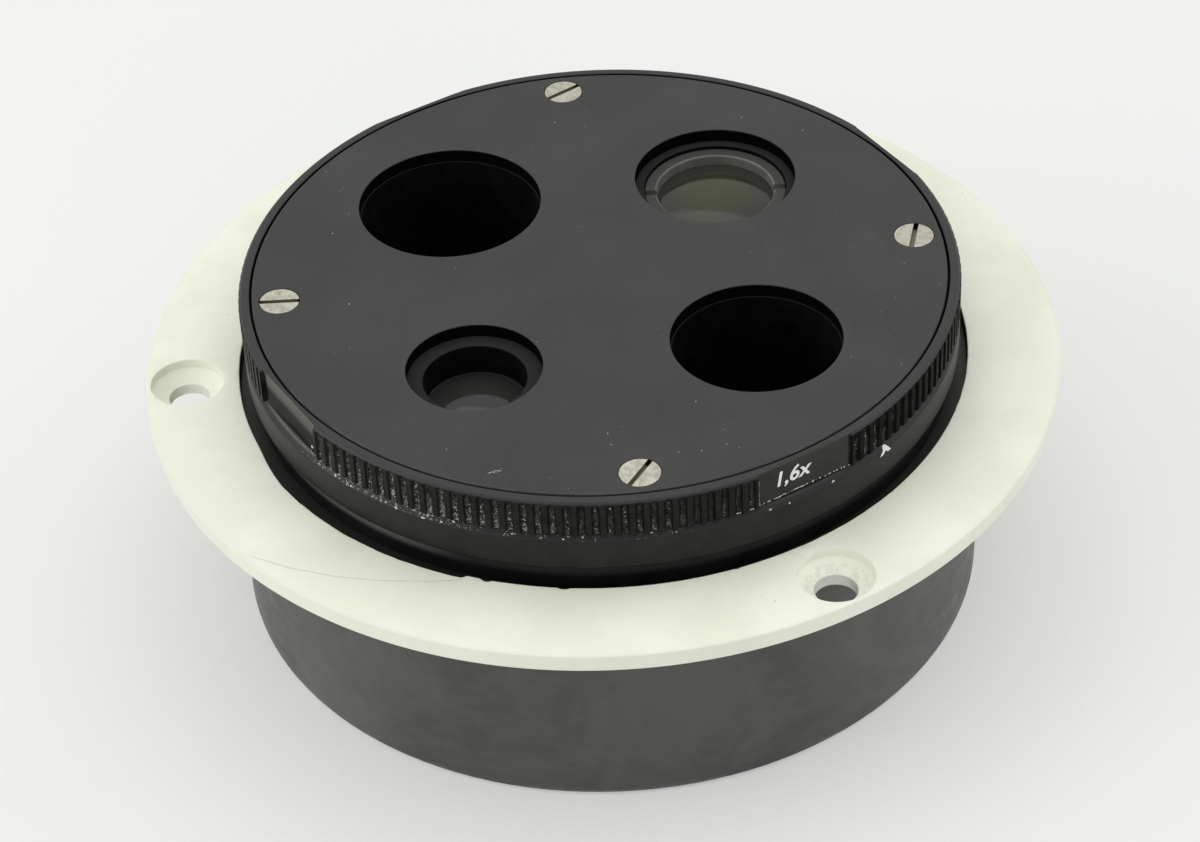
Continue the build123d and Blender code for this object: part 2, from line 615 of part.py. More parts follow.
def hub_bore():
    """Cutter for the hub: two bearing seats, the bore between them and the circlip groove."""
    seat_r = BEARING_OUTER_R + THREAD_FIT
    lower_end = LOWER_BEARING_Z + BEARING_T
    cutter = disc(seat_r, HUB_Z - 1, lower_end)
    cutter += disc(BEARING_OUTER_R + CIRCLIP_DEPTH, LOWER_BEARING_Z - CIRCLIP_T, LOWER_BEARING_Z)
    cutter += disc(BEARING_OUTER_R - HUB_SHOULDER, lower_end - 1, UPPER_BEARING_Z + 1)
    return cutter + disc(seat_r, UPPER_BEARING_Z, PLATE_Z + 1)


def detent_disc():
    """Notched disc on the carrier's posts, bored for the four tubes."""
    body = ring(DISC_R, HUB_R + SLIP_FIT, DISC_Z, DISC_TOP)
    for angle, hole_r, tube_r in STATIONS:
        body -= at(PITCH_R, angle) * drill(tube_r + SLIP_FIT, DISC_Z, DISC_TOP)
    for angle in around(POSITIONS, REST_ANGLE + STEP / 2):
        body -= at(POST_PITCH_R, angle) * drill(M3_R + HOLE_FIT, DISC_Z, DISC_TOP)
    side = 2 * NOTCH_DEPTH * sqrt(2)
    notch = Pos(DISC_R + NOTCH_DEPTH, 0, CLICK_Z) * Rot(0, 0, 45) * Box(side, side, 2 * DISC_T)
    for angle in around(POSITIONS, CLICK_ANGLE - OFF_CLICK):
        body -= Rot(0, 0, angle) * notch
    return body


def detent_disc_screws():
    """Screws from below into the carrier's posts."""
    length = DISC_T + POST_THREAD
    return group(
        at(POST_PITCH_R, angle, DISC_Z) * cheese_head(M3_R, M3_HEAD_R, M3_HEAD_H, length, 25 * k)
        for k, angle in enumerate(around(POSITIONS, REST_ANGLE + STEP / 2))
    )


# ---------------------------------------------------------------- optical positions
def barrel_blank(tube_r):
    """Tube with a flange that is clamped under the plate."""
    return disc(tube_r, BARREL_END_Z, PLATE_Z) + disc(tube_r + BARREL_FLANGE, BARREL_SEAT_Z, PLATE_Z)


def open_tube(hole_r, tube_r, angle):
    """Empty position: a plain blackened tube."""
    return at(PITCH_R, angle) * (barrel_blank(tube_r) - disc(hole_r - TUBE_STEP, 0, TOP_Z))


UPPER_GLASS_Z = PLATE_Z - LENS_DEPTH - RETAINER_T - GLASS_EDGE
LOWER_GLASS_Z = BARREL_END_Z + LENS_DEPTH + RETAINER_T
REDUCER_GLASS_Z = PLATE_Z - REDUCER_WELL - GLASS_EDGE


def telescope_barrel():
    """Barrel with a lens at each end."""
    body = barrel_blank(BARREL_R) - disc(GLASS_CLEAR_R, 0, TOP_Z)
    body -= disc(GLASS_R + SEAT_FIT, UPPER_GLASS_Z, TOP_Z)
    body -= disc(GLASS_R + SEAT_FIT, 0, LOWER_GLASS_Z + GLASS_EDGE)
    return at(PITCH_R, LENS_AT) * body


def telescope_upper_lens():
    """Upper, coated lens."""
    return at(PITCH_R, LENS_AT) * lens(GLASS_R, GLASS_CLEAR_R, UPPER_GLASS_Z, 1, 1)


def telescope_upper_retainer():
    """Slotted ring over the upper lens."""
    return at(PITCH_R, LENS_AT) * retainer(GLASS_R, GLASS_CLEAR_R, UPPER_GLASS_Z + GLASS_EDGE)


def reducer_barrel():
    """Barrel with a stepped cap, a narrow aperture and a lens below it."""
    body = barrel_blank(BARREL_R) - disc(REDUCER_APERTURE_R, 0, TOP_Z)
    body -= disc(SMALL_GLASS_R + SEAT_FIT, 0, PLATE_Z - REDUCER_WELL)
    body -= disc(GLASS_R + SEAT_FIT, 0, LOWER_GLASS_Z + GLASS_EDGE)
    return at(PITCH_R, REDUCER_AT) * body


def reducer_upper_lens():
    """Upper lens under the cap aperture."""
    return at(PITCH_R, REDUCER_AT) * lens(SMALL_GLASS_R, REDUCER_APERTURE_R, REDUCER_GLASS_Z, 1, -1)


def reducer_upper_retainer():
    """Ring under the upper lens."""
    body = turn_over(retainer(SMALL_GLASS_R, REDUCER_APERTURE_R + EDGE, REDUCER_GLASS_Z), REDUCER_GLASS_Z)
    return at(PITCH_R, REDUCER_AT) * body


def lower_lens(angle, top, bottom):
    """Lower lens of a barrel."""
    return at(PITCH_R, angle) * lens(GLASS_R, GLASS_CLEAR_R, LOWER_GLASS_Z, top, bottom)


def lower_retainer(angle):
    """Ring under a lower lens."""
    return at(PITCH_R, angle) * turn_over(retainer(GLASS_R, GLASS_CLEAR_R, LOWER_GLASS_Z), LOWER_GLASS_Z)


# ---------------------------------------------------------------- click stop
def click_frame():
    """Frame of the click stop: local +Z points outwards, away from the turning axis."""
    return Rot(0, 0, CLICK_ANGLE) * Pos(0, 0, CLICK_Z) * Rot(0, 90, 0)


# distances from the turning axis
TIP_D = DISC_R + TIP_GAP
SLEEVE_D = DISC_R + SLEEVE_GAP
LIP_END_D = SLEEVE_D + SLEEVE_LIP
COLLAR_D = LIP_END_D + NOTCH_DEPTH
SPRING_D = COLLAR_D + COLLAR_T
ADJUSTER_D = SPRING_D + SPRING_L
SLEEVE_END_D = DRUM_R - SLEEVE_INSET
ADJUSTER_END_D = SLEEVE_END_D - ADJUSTER_INSET


def detent_sleeve():
    """Sleeve in the drum wall that guides the plunger."""
    body = ring(SLEEVE_R, TIP_R + SEAT_FIT, SLEEVE_D, SLEEVE_END_D)
    body -= disc(COLLAR_R + SEAT_FIT, LIP_END_D, SLEEVE_END_D + 1)
    body -= disc(ADJUSTER_R + THREAD_FIT, ADJUSTER_D, SLEEVE_END_D + 1)
    return click_frame() * body


def detent_adjuster():
    """Slotted grub screw that loads the spring."""
    body = disc(ADJUSTER_R, ADJUSTER_D, ADJUSTER_END_D)
    return click_frame() * (body - slot(4 * ADJUSTER_R, ADJUSTER_END_D, 0))


def detent_plunger():
    """Plunger with a round tip, a collar and a stem inside the spring."""
    body = Pos(0, 0, TIP_D + TIP_R) * Sphere(TIP_R) + disc(TIP_R, TIP_D + TIP_R, COLLAR_D)
    body += disc(COLLAR_R, COLLAR_D, SPRING_D)
    return click_frame() * (body + disc(STEM_R, SPRING_D, SPRING_D + STEM_L))


def detent_spring():
    """Compression spring between the collar and the adjuster."""
    inset = SPRING_WIRE_R + SPRING_END
    height = SPRING_L - 2 * inset
    path = Helix(pitch=height / SPRING_TURNS, height=height, radius=SPRING_R)
    section = Plane(origin=path @ 0, z_dir=path % 0) * Circle(SPRING_WIRE_R)
    return click_frame() * Pos(0, 0, SPRING_D + inset) * sweep(section, path=path)


# ---------------------------------------------------------------- all nodes
def main():
    """Build every node and write it."""
    nodes = {
        "drum_housing": drum_housing(),
        "mounting_flange": mounting_flange(),
        "index_ring": index_ring(),
        "flange_screws": flange_screws(),
        "base_plate": base_plate(),
        "base_plate_screws": base_plate_screws(),
        "spindle": spindle(),
        "spindle_screws": spindle_screws(),
        "bearing_spacer": bearing_spacer(),
        "hub_circlip": hub_circlip(),
        "spindle_washer": spindle_washer(),
        "spindle_nut": spindle_nut(),
        "knurled_ring": knurled_ring(),
        "top_plate": top_plate(),
        "top_plate_screws": top_plate_screws(),
        "turret_carrier": turret_carrier(),
        "detent_disc": detent_disc(),
        "detent_disc_screws": detent_disc_screws(),
        "open_tube_large": open_tube(BIG_HOLE_R, BIG_TUBE_R, OPEN_BIG_AT),
        "open_tube_small": open_tube(SMALL_HOLE_R, SMALL_TUBE_R, OPEN_SMALL_AT),
        "telescope_barrel": telescope_barrel(),
        "telescope_upper_lens": telescope_upper_lens(),
        "telescope_upper_retainer": telescope_upper_retainer(),
        "telescope_lower_lens": lower_lens(LENS_AT, -1, -1),
        "telescope_lower_retainer": lower_retainer(LENS_AT),
        "reducer_barrel": reducer_barrel(),
        "reducer_upper_lens": reducer_upper_lens(),
        "reducer_upper_retainer": reducer_upper_retainer(),
        "reducer_lower_lens": lower_lens(REDUCER_AT, 1, -1),
        "reducer_lower_retainer": lower_retainer(REDUCER_AT),
        "detent_sleeve": detent_sleeve(),
        "detent_adjuster": detent_adjuster(),
        "detent_plunger": detent_plunger(),
        "detent_spring": detent_spring(),
    }
    for name, z in (("lower", LOWER_BEARING_Z), ("upper", UPPER_BEARING_Z)):
        nodes[name + "_inner_race"] = race_inner(z)
        nodes[name + "_outer_race"] = race_outer(z)
        nodes[name + "_bearing_balls"] = bearing_balls(z)
        nodes[name + "_bearing_cage"] = bearing_cage(z)
    os.makedirs("parts", exist_ok=True)
    for name, shape in nodes.items():
        export_step(shape, os.path.join("parts", name + ".step"))


main()
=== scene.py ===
"""Looks of the magnification changer turret: finer pieces, finishes, wear and dust on the CAD frame."""
import bmesh
import bpy
import json
import random
from math import ceil, cos, hypot, pi, radians, sin
from mathutils import Euler, Matrix, Vector, noise


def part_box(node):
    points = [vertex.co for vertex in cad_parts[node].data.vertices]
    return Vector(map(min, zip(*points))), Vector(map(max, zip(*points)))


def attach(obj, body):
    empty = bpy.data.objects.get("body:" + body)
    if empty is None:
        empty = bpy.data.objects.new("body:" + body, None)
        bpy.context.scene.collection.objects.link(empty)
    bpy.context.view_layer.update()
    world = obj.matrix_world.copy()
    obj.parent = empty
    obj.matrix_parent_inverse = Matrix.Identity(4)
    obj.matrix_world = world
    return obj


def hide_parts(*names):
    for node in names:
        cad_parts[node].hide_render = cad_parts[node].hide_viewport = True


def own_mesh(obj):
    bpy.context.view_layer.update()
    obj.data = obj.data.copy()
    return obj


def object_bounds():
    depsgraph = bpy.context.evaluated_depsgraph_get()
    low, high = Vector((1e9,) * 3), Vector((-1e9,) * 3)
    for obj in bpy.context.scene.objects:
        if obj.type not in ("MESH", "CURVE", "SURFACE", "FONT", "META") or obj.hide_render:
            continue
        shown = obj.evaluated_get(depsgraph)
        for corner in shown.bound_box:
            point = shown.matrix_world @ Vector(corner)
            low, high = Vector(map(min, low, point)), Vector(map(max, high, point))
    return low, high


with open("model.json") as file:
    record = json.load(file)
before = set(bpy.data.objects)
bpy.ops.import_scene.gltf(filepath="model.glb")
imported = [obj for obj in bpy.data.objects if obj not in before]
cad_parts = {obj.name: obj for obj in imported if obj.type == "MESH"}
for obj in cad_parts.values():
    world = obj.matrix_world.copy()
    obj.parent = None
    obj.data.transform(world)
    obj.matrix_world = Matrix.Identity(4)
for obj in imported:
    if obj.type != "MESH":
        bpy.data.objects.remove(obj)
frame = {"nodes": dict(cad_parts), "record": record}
cad_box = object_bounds()
record = frame["record"]
rng = random.Random(7)

# ---------------------------------------------------------------- sizes, in metres and degrees
MM = 0.001
WELD = 2e-6                    # joins the split edges of a CAD mesh
RIM_SNAP = 6e-5                # from a facet's edge out to the true radius
THIN_CUT = 1e-7                # tolerance of a plane cut
GENTLE_BEND = 12               # outline bends below this stay unrounded
ROUND_STEPS = 3                # mesh steps across a rounded corner
EDGE_ANGLE = 32                # bends above this count as edges
CLEAR_ANGLE = 7.3              # a direction without holes or screws

FLUTES = 34                    # between two label lands
FLUTE_SHARE = 0.6              # of the pitch; the rest is crest
FLUTE_DEPTH = 0.55 * MM
FLUTE_TOP = 0.28 * MM          # plain rim above the flutes
FLUTE_STEPS = 9                # mesh steps across one flute
FLUTE_CELL = 0.14 * MM         # and up the wall
WALL_DEPTH = 0.7 * MM          # points of the grip deeper than this stay in place
GRIP_ROUND = 0.18 * MM
LANDS = 4
SECTOR = 360 / LANDS
LAND_ANGLE = 30.8
LAND_HALF = 8.5
LAND_DEPTH = 1.0 * MM
LAND_RAMP = 0.12               # width of the step at a land's ends, degrees
LAND_STEPS = 8                 # mesh steps across half a land
CREST_ANGLE = LAND_ANGLE + LAND_HALF + 0.02    # beside a land, where the wall is whole
LABELS = ((0, "1x"), (1, "0,6x"), (3, "1,6x"))    # land and text; the land at the left has none
LABEL_SIZE = 3.3 * MM          # letter height of the font
LABEL_THICK = 0.02 * MM
LABEL_SHIFT = -2.3             # middle of the text from the land's middle, degrees
LABEL_LIFT = 0.15 * MM         # middle of the text above the grip's middle
LABEL_SLANT = 0.18
LABEL_BOLD = 0.055 * MM

FRONT_LAND = LAND_ANGLE + 3 * SECTOR
LEFT_LAND = LAND_ANGLE + 2 * SECTOR
RING_STEPS = 900
RING_ROUND = 0.16 * MM
RING_CHAMFER = 0.8 * MM
INDEX_ANGLE = 316.9
INDEX_WIDTH = 2.3 * MM
INDEX_HEIGHT = 1.15 * MM
INDEX_STROKE = 0.66 * MM
INDEX_DROP = 0.95 * MM         # from the ring's top to the mark's middle
INDEX_SUNK = 0.02 * MM         # the mark's back below the ring's wall
INDEX_PROUD = 0.025 * MM       # and its front above it

FLANGE_STEPS = 1440
FLANGE_ROUND = 0.22 * MM
FLANGE_RECESS_R = 5.15 * MM
FLANGE_RECESS_DEPTH = 1.3 * MM
HOLE_ROUND = 0.14 * MM
HOLE_STEPS = 96
DRILL_SLOPE = 0.577            # height over radius of a 120 degree drill point
HOLE_WEAR = (0.3, 0.15, 0.8)   # share of bare metal in the back, left and front holes
WORN_FROM = 202.0              # painted edge set back between these angles
WORN_TO = 248.0
WORN_DEPTH = 0.75 * MM
WORN_FADE = 0.6                # at the second angle, degrees
RAGGED_DEPTH = 0.05 * MM
RAGGED_WAVES = 21
OPENING_BAND = 0.4 * MM        # only points this near the opening are set back
CHIPS = ((251.0, 0.9, 0.35), (262.5, 1.0, 0.25), (288.0, 0.5, 0.12))    # angle, half width, depth in mm
CREASE_FROM = 220.5            # crease in the paint, from the flange's rim to its opening
CREASE_TO = 248.0
CREASE_BOW = 2.2 * MM

# dirt; angles in degrees about the turning axis, places on the plate in mm
# middle of a dusty side, half width of its full and of its fading part, share of dust
DUSTY_SIDES = ((238, 18, 34, 1.0), (268, 8, 22, 0.55), (292, 3, 9, 0.4), (314, 4, 8, 0.6))
FLUTE_DIRT = ((206, 258, 0.85, 1.0), (258, 291, 0.4, 0.8), (309, 318, 0.5, 0.8))    # from, to, share, size
RING_DIRT = (                  # from, to, crumbs
    (222, 228, 9), (231, 236, 8), (240, 246, 14), (252, 256, 5), (262, 296, 5), (292, 306, 4),
)
PLATE_SPECKS = ((-7, -23), (-6.5, -26), (-13, -29.5), (0, -36), (-21, -37.5), (9, -40.5), (12, -40.5))
STRAY_SPECKS = 14
CRUMB_HEIGHT = 0.5             # of a crumb on the rings, over its width
PLATE_TUBES = ("open_tube_large", "open_tube_small", "telescope_barrel", "reducer_barrel")
SMEAR_START = (-15.6, -42.9)
SMEAR_STEP = (0.16, 0.06)
SMEAR_CRUMBS = 12
LINE_CRUMBS = 80               # under the front land
END_CRUMBS = 9                 # up its left end
EDGE_CRUMBS = 14               # along its top edge

# camera, as the photograph was taken
CAMERA_PLACE = (-0.909 * MM, -366.81 * MM, 323.56 * MM)
CAMERA_PITCH = 39.44           # below the horizon
CAMERA_ROLL = -2.946
CAMERA_LENS = 99.09
CAMERA_SENSOR = 36.0

# studio
LIGHT_TARGET = (0, 0, 0.03)
LIGHTS = (                     # name, place, size, power, tint
    ("overhead", (0.1, 0.25, 1.3), 1.4, 4.9, (1.0, 1.0, 0.975)),
    ("left", (-1.1, -0.15, 0.6), 0.9, 4.0, (1.0, 1.0, 0.98)),
    ("right", (1.2, 0.1, 0.7), 0.9, 1.6, (1.0, 1.0, 0.98)),
)
SKY_COLOUR = (0.99, 1.0, 0.975, 1)
SKY_STRENGTH = 0.74
FLOOR_SIZE = 6.0


# ---------------------------------------------------------------- mesh helpers
def outward(angle):
    """Level direction away from the turning axis."""
    return Vector((cos(radians(angle)), sin(radians(angle)), 0))


def section(node, angle):
    """Outline (radius, height) of a CAD node on the half-plane at one angle about the turning axis."""
    bm = bmesh.new()
    bm.from_mesh(frame["nodes"][node].data)
    bmesh.ops.remove_doubles(bm, verts=bm.verts, dist=WELD)
    rims = [(hypot(v.co.x, v.co.y), v.co.z) for v in bm.verts]
    bmesh.ops.rotate(bm, verts=bm.verts, cent=(0, 0, 0), matrix=Matrix.Rotation(radians(-angle), 3, "Z"))
    geometry = [*bm.verts, *bm.edges, *bm.faces]
    cut = bmesh.ops.bisect_plane(
        bm, geom=geometry, dist=THIN_CUT, plane_co=(0, 0, 0), plane_no=(0, 1, 0),
        clear_inner=True, clear_outer=True,
    )
    edges = [e for e in cut["geom_cut"] if isinstance(e, bmesh.types.BMEdge) and e.verts[0].co.x > 0]
    links = {}
    for edge in edges:
        for vert in edge.verts:
            links.setdefault(vert, []).append(edge.other_vert(vert))
    first = edges[0].verts[0]
    loop, last, here = [first], first, links[first][0]
    while here is not first:
        loop.append(here)
        here, last = next(v for v in links[here] if v is not last), here
    points = [Vector((v.co.x, v.co.z)) for v in loop]
    bm.free()
    corners = []
    for before, point, after in zip(points[-1:] + points[:-1], points, points[1:] + points[:1]):
        run = (after - before).normalized()
        if abs(run.cross(point - before)) > WELD:
            near = [r for r, z in rims if abs(z - point.y) < WELD and abs(r - point.x) < RIM_SNAP]
            corners.append(Vector((max(near, default=point.x), point.y)))
    return corners


def softened(outline, size):
    """The outline with its sharp corners rounded."""
    soft = []
    for before, corner, after in zip(outline[-1:] + outline[:-1], outline, outline[1:] + outline[:1]):
        back = before - corner
        ahead = after - corner
        if back.angle(-ahead) < radians(GENTLE_BEND):
            soft.append(corner)
            continue
        start = corner + back.normalized() * min(size, 0.4 * back.length)
        end = corner + ahead.normalized() * min(size, 0.4 * ahead.length)
        for k in range(ROUND_STEPS + 1):
            t = k / ROUND_STEPS
            soft.append(start * (1 - t) ** 2 + corner * 2 * t * (1 - t) + end * t ** 2)
    return soft


def divided(outline, longest, chosen):
    """The outline with its long runs divided where chosen(point) is true."""
    out = []
    for a, b in zip(outline, outline[1:] + outline[:1]):
        out.append(a)
        count = ceil((b - a).length / longest) if chosen((a + b) / 2) else 1
        out.extend(a.lerp(b, k / count) for k in range(1, count))
    return out


def mesh_object(name, bm):
    """A linked object from a bmesh, with outward faces and smooth shading."""
    bmesh.ops.recalc_face_normals(bm, faces=bm.faces)
    mesh = bpy.data.meshes.new(name)
    bm.to_mesh(mesh)
    bm.free()
    mesh.shade_smooth()
    mesh.set_sharp_from_angle(angle=radians(EDGE_ANGLE))
    obj = bpy.data.objects.new(name, mesh)
    bpy.context.scene.collection.objects.link(obj)
    return obj


def lathe(name, outline, angles, place=lambda r, z, angle: (r, z)):
    """Closed turned piece; place(radius, height, angle) may move each point."""
    bm = bmesh.new()
    rows = []
    for angle in angles:
        c, s = cos(radians(angle)), sin(radians(angle))
        row = [place(p.x, p.y, angle) for p in outline]
        rows.append([bm.verts.new((r * c, r * s, z)) for r, z in row])
    for a, b in zip(rows, rows[1:] + rows[:1]):
        for i in range(len(outline)):
            bm.faces.new((a[i - 1], a[i], b[i], b[i - 1]))
    return mesh_object(name, bm)


def even(count):
    """Even angles round the turning axis."""
    return [360.0 * k / count for k in range(count)]


def apply_modifiers(obj):
    """Bakes an object's modifiers into its mesh."""
    graph = bpy.context.evaluated_depsgraph_get()
    mesh = bpy.data.meshes.new_from_object(obj.evaluated_get(graph))
    obj.modifiers.clear()
    obj.data = mesh


def cut_away(obj, cutter):
    """Takes the cutter's volume out of the object and removes the cutter."""
    boolean = obj.modifiers.new("cut", "BOOLEAN")
    boolean.operation = "DIFFERENCE"
    boolean.solver = "EXACT"
    boolean.object = cutter
    apply_modifiers(obj)
    bpy.data.objects.remove(cutter)


def bevelled(obj, width, angle=EDGE_ANGLE):
    """Small rounded edges, as modifiers."""
    bevel = obj.modifiers.new("edges", "BEVEL")
    bevel.width = width
    bevel.segments = 2
    bevel.limit_method = "ANGLE"
    bevel.angle_limit = radians(angle)
    bevel.use_clamp_overlap = True
    normals = obj.modifiers.new("normals", "WEIGHTED_NORMAL")
    normals.keep_sharp = True


def refine_node(node, width):
    """Rounded edges on a CAD node, whose own mesh stays as it is."""
    obj = frame["nodes"][node]
    weld = obj.modifiers.new("weld", "WELD")
    weld.merge_threshold = WELD
    flat = obj.modifiers.new("flat", "DECIMATE")
    flat.decimate_type = "DISSOLVE"
    flat.angle_limit = radians(0.3)
    bevelled(obj, width)


# ---------------------------------------------------------------- material helpers
class Finish:
    """One node material under construction."""

    def __init__(self, name, **sockets):
        self.material = bpy.data.materials.new(name)
        self.material.use_nodes = True
        self.tree = self.material.node_tree
        self.shader = next(n for n in self.tree.nodes if n.type == "BSDF_PRINCIPLED")
        for key, value in sockets.items():
            self.shader.inputs[key.replace("_", " ")].default_value = value
        self.place = self.tree.nodes.new("ShaderNodeTexCoord").outputs["Object"]

    def node(self, kind, inputs, **settings):
        """A node with its settings; an input is a value or another node's socket."""
        node = self.tree.nodes.new("ShaderNode" + kind)
        for key, value in settings.items():
            setattr(node, key, value)
        for key, value in inputs.items():
            if isinstance(value, bpy.types.NodeSocket):
                self.tree.links.new(value, node.inputs[key])
            else:
                node.inputs[key].default_value = value
        return node

    def stretched(self, x, y, z):
        """Coordinates stretched along the axes."""
        return self.node("VectorMath", {0: self.place, 1: (x, y, z)}, operation="MULTIPLY").outputs[0]

    def noise(self, size, detail=4.0, rough=0.55, place=None, warp=0.0):
        """Cloudy noise with features of about one size, in metres."""
        inputs = {"Vector": place or self.place, "Scale": 1 / size, "Detail": detail, "Roughness": rough}
        return self.node("TexNoise", {**inputs, "Distortion": warp}).outputs["Fac"]

    def grains(self, size):
        """Distance to the nearest of scattered points."""
        return self.node("TexVoronoi", {"Vector": self.place, "Scale": 1 / size}).outputs["Distance"]

    def span(self, source, low, high, to_low=0.0, to_high=1.0):
        """Maps low..high to another range, clamped."""
        inputs = {"Value": source, "From Min": low, "From Max": high, "To Min": to_low, "To Max": to_high}
        return self.node("MapRange", inputs, interpolation_type="SMOOTHSTEP").outputs[0]

    def math(self, operation, a, b=0.0):
        """One sum of two numbers or sockets."""
        return self.node("Math", {0: a, 1: b}, operation=operation).outputs[0]

    def both(self, *factors):
        """Product of several factors."""
        total = factors[0]
        for factor in factors[1:]:
            total = self.math("MULTIPLY", total, factor)
        return total

    def either(self, *factors):
        """Largest of several factors."""
        total = factors[0]
        for factor in factors[1:]:
            total = self.math("MAXIMUM", total, factor)
        return total

    def radius(self):
        """Distance from the turning axis."""
        return self.node("VectorMath", {0: self.stretched(1, 1, 0)}, operation="LENGTH").outputs["Value"]

    def height(self):
        """Height above the floor."""
        return self.node("SeparateXYZ", {0: self.place}).outputs["Z"]

    def upward(self):
        """1 on faces that face straight up."""
        facing = self.node("NewGeometry", {}).outputs["True Normal"]
        return self.span(self.node("SeparateXYZ", {0: facing}).outputs["Z"], 0.9, 0.99)

    def towards(self, angle, full, fade):
        """1 within full degrees of an angle about the axis, down to 0 at fade degrees."""
        flat = self.node("VectorMath", {0: self.stretched(1, 1, 0)}, operation="NORMALIZE").outputs[0]
        way = (cos(radians(angle)), sin(radians(angle)), 0)
        facing = self.node("VectorMath", {0: flat, 1: way}, operation="DOT_PRODUCT").outputs["Value"]
        return self.span(facing, cos(radians(fade)), cos(radians(full)))

    def mixed(self, factor, a, b):
        """Colour a where the factor is 0, b where it is 1."""
        node = self.tree.nodes.new("ShaderNodeMix")
        node.data_type = "RGBA"
        for socket, value in ((node.inputs["Factor"], factor), (node.inputs[6], a), (node.inputs[7], b)):
            if isinstance(value, bpy.types.NodeSocket):
                self.tree.links.new(value, socket)
            else:
                socket.default_value = value if isinstance(value, float) else (*value[:3], 1)
        return node.outputs[2]

    def paint(self, colour):
        """Colour from a socket."""
        self.tree.links.new(colour, self.shader.inputs["Base Color"])

    def gloss(self, roughness):
        """Roughness from a socket."""
        self.tree.links.new(roughness, self.shader.inputs["Roughness"])

    def metal(self, factor):
        """Metallic share from a socket."""
        self.tree.links.new(factor, self.shader.inputs["Metallic"])

    def shine(self, level):
        """Specular level from a socket."""
        self.tree.links.new(level, self.shader.inputs["Specular IOR Level"])

    def relief(self, height, depth, strength=1.0):
        """Adds a fine bump of a depth in metres, on top of earlier ones."""
        bump = self.node("Bump", {"Height": height, "Distance": depth, "Strength": strength})
        earlier = self.shader.inputs["Normal"].links
        if earlier:
            self.tree.links.new(earlier[0].from_socket, bump.inputs["Normal"])
        self.tree.links.new(bump.outputs[0], self.shader.inputs["Normal"])


def give(objects, finish):
    """Puts one material on several objects."""
    for obj in objects:
        obj.data.materials.clear()
        obj.data.materials.append(finish.material)


# ---------------------------------------------------------------- levels and radii from the frame
grip_lo, grip_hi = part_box("knurled_ring")
ring_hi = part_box("index_ring")[1]
plate_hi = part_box("top_plate")[1]
flange_lo, flange_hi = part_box("mounting_flange")
GRIP_R = ring_hi.x
LAND_FACE = GRIP_R - LAND_DEPTH
TOP_Z = grip_hi.z
GRIP_Z = grip_lo.z
RING_Z = ring_hi.z
PLATE_R = plate_hi.x
FLANGE_TOP = flange_hi.z
FLANGE_R = flange_hi.x
LAND_ANGLES = [LAND_ANGLE + SECTOR * k for k in range(LANDS)]
FLANGE_HOLES = [m for m in record["mounts"] if m["name"].startswith("flange_hole")]


# ---------------------------------------------------------------- finishes
def drum_skin():
    """Cloudy graphite grey with darker patches and handling marks, and painted shade on its front."""
    f = Finish("drum_skin", Specular_IOR_Level=0.45)
    cloud = f.noise(14 * MM, 6, 0.6, f.stretched(1, 1, 0.75), 0.6)
    mottle = f.noise(3.6 * MM, 8, 0.68, f.stretched(0.7, 0.7, 1.6))
    grain = f.noise(0.22 * MM, 3, 0.6)
    tone = f.mixed(f.span(cloud, 0.36, 0.66), (0.055, 0.0545, 0.0535), (0.090, 0.090, 0.0885))
    tone = f.mixed(f.span(mottle, 0.42, 0.68, 0.0, 0.55), tone, (0.112, 0.112, 0.11))
    tone = f.mixed(f.span(grain, 0.55, 0.75, 0.0, 0.45), tone, (0.035, 0.035, 0.034))
    rub = f.both(f.span(f.height(), 1.4 * MM, 0.2 * MM), f.span(mottle, 0.4, 0.6))
    tone = f.mixed(f.math("MULTIPLY", rub, 0.6), tone, (0.3, 0.3, 0.295))
    scratch = f.noise(0.5 * MM, 2, 0.5, f.stretched(1, 1, 0.05), 0.3)
    tone = f.mixed(f.span(scratch, 0.72, 0.8, 0.0, 0.15), tone, (0.2, 0.2, 0.197))
    # painted shade: the drum's front, towards 268 degrees, is darkened
    f.paint(f.mixed(f.both(f.towards(268, 15, 55), 0.3), tone, (0.02, 0.02, 0.02)))
    f.gloss(f.span(mottle, 0.3, 0.7, 0.36, 0.58))
    f.relief(grain, 0.02 * MM, 0.5)
    f.relief(mottle, 0.03 * MM, 0.4)
    return f


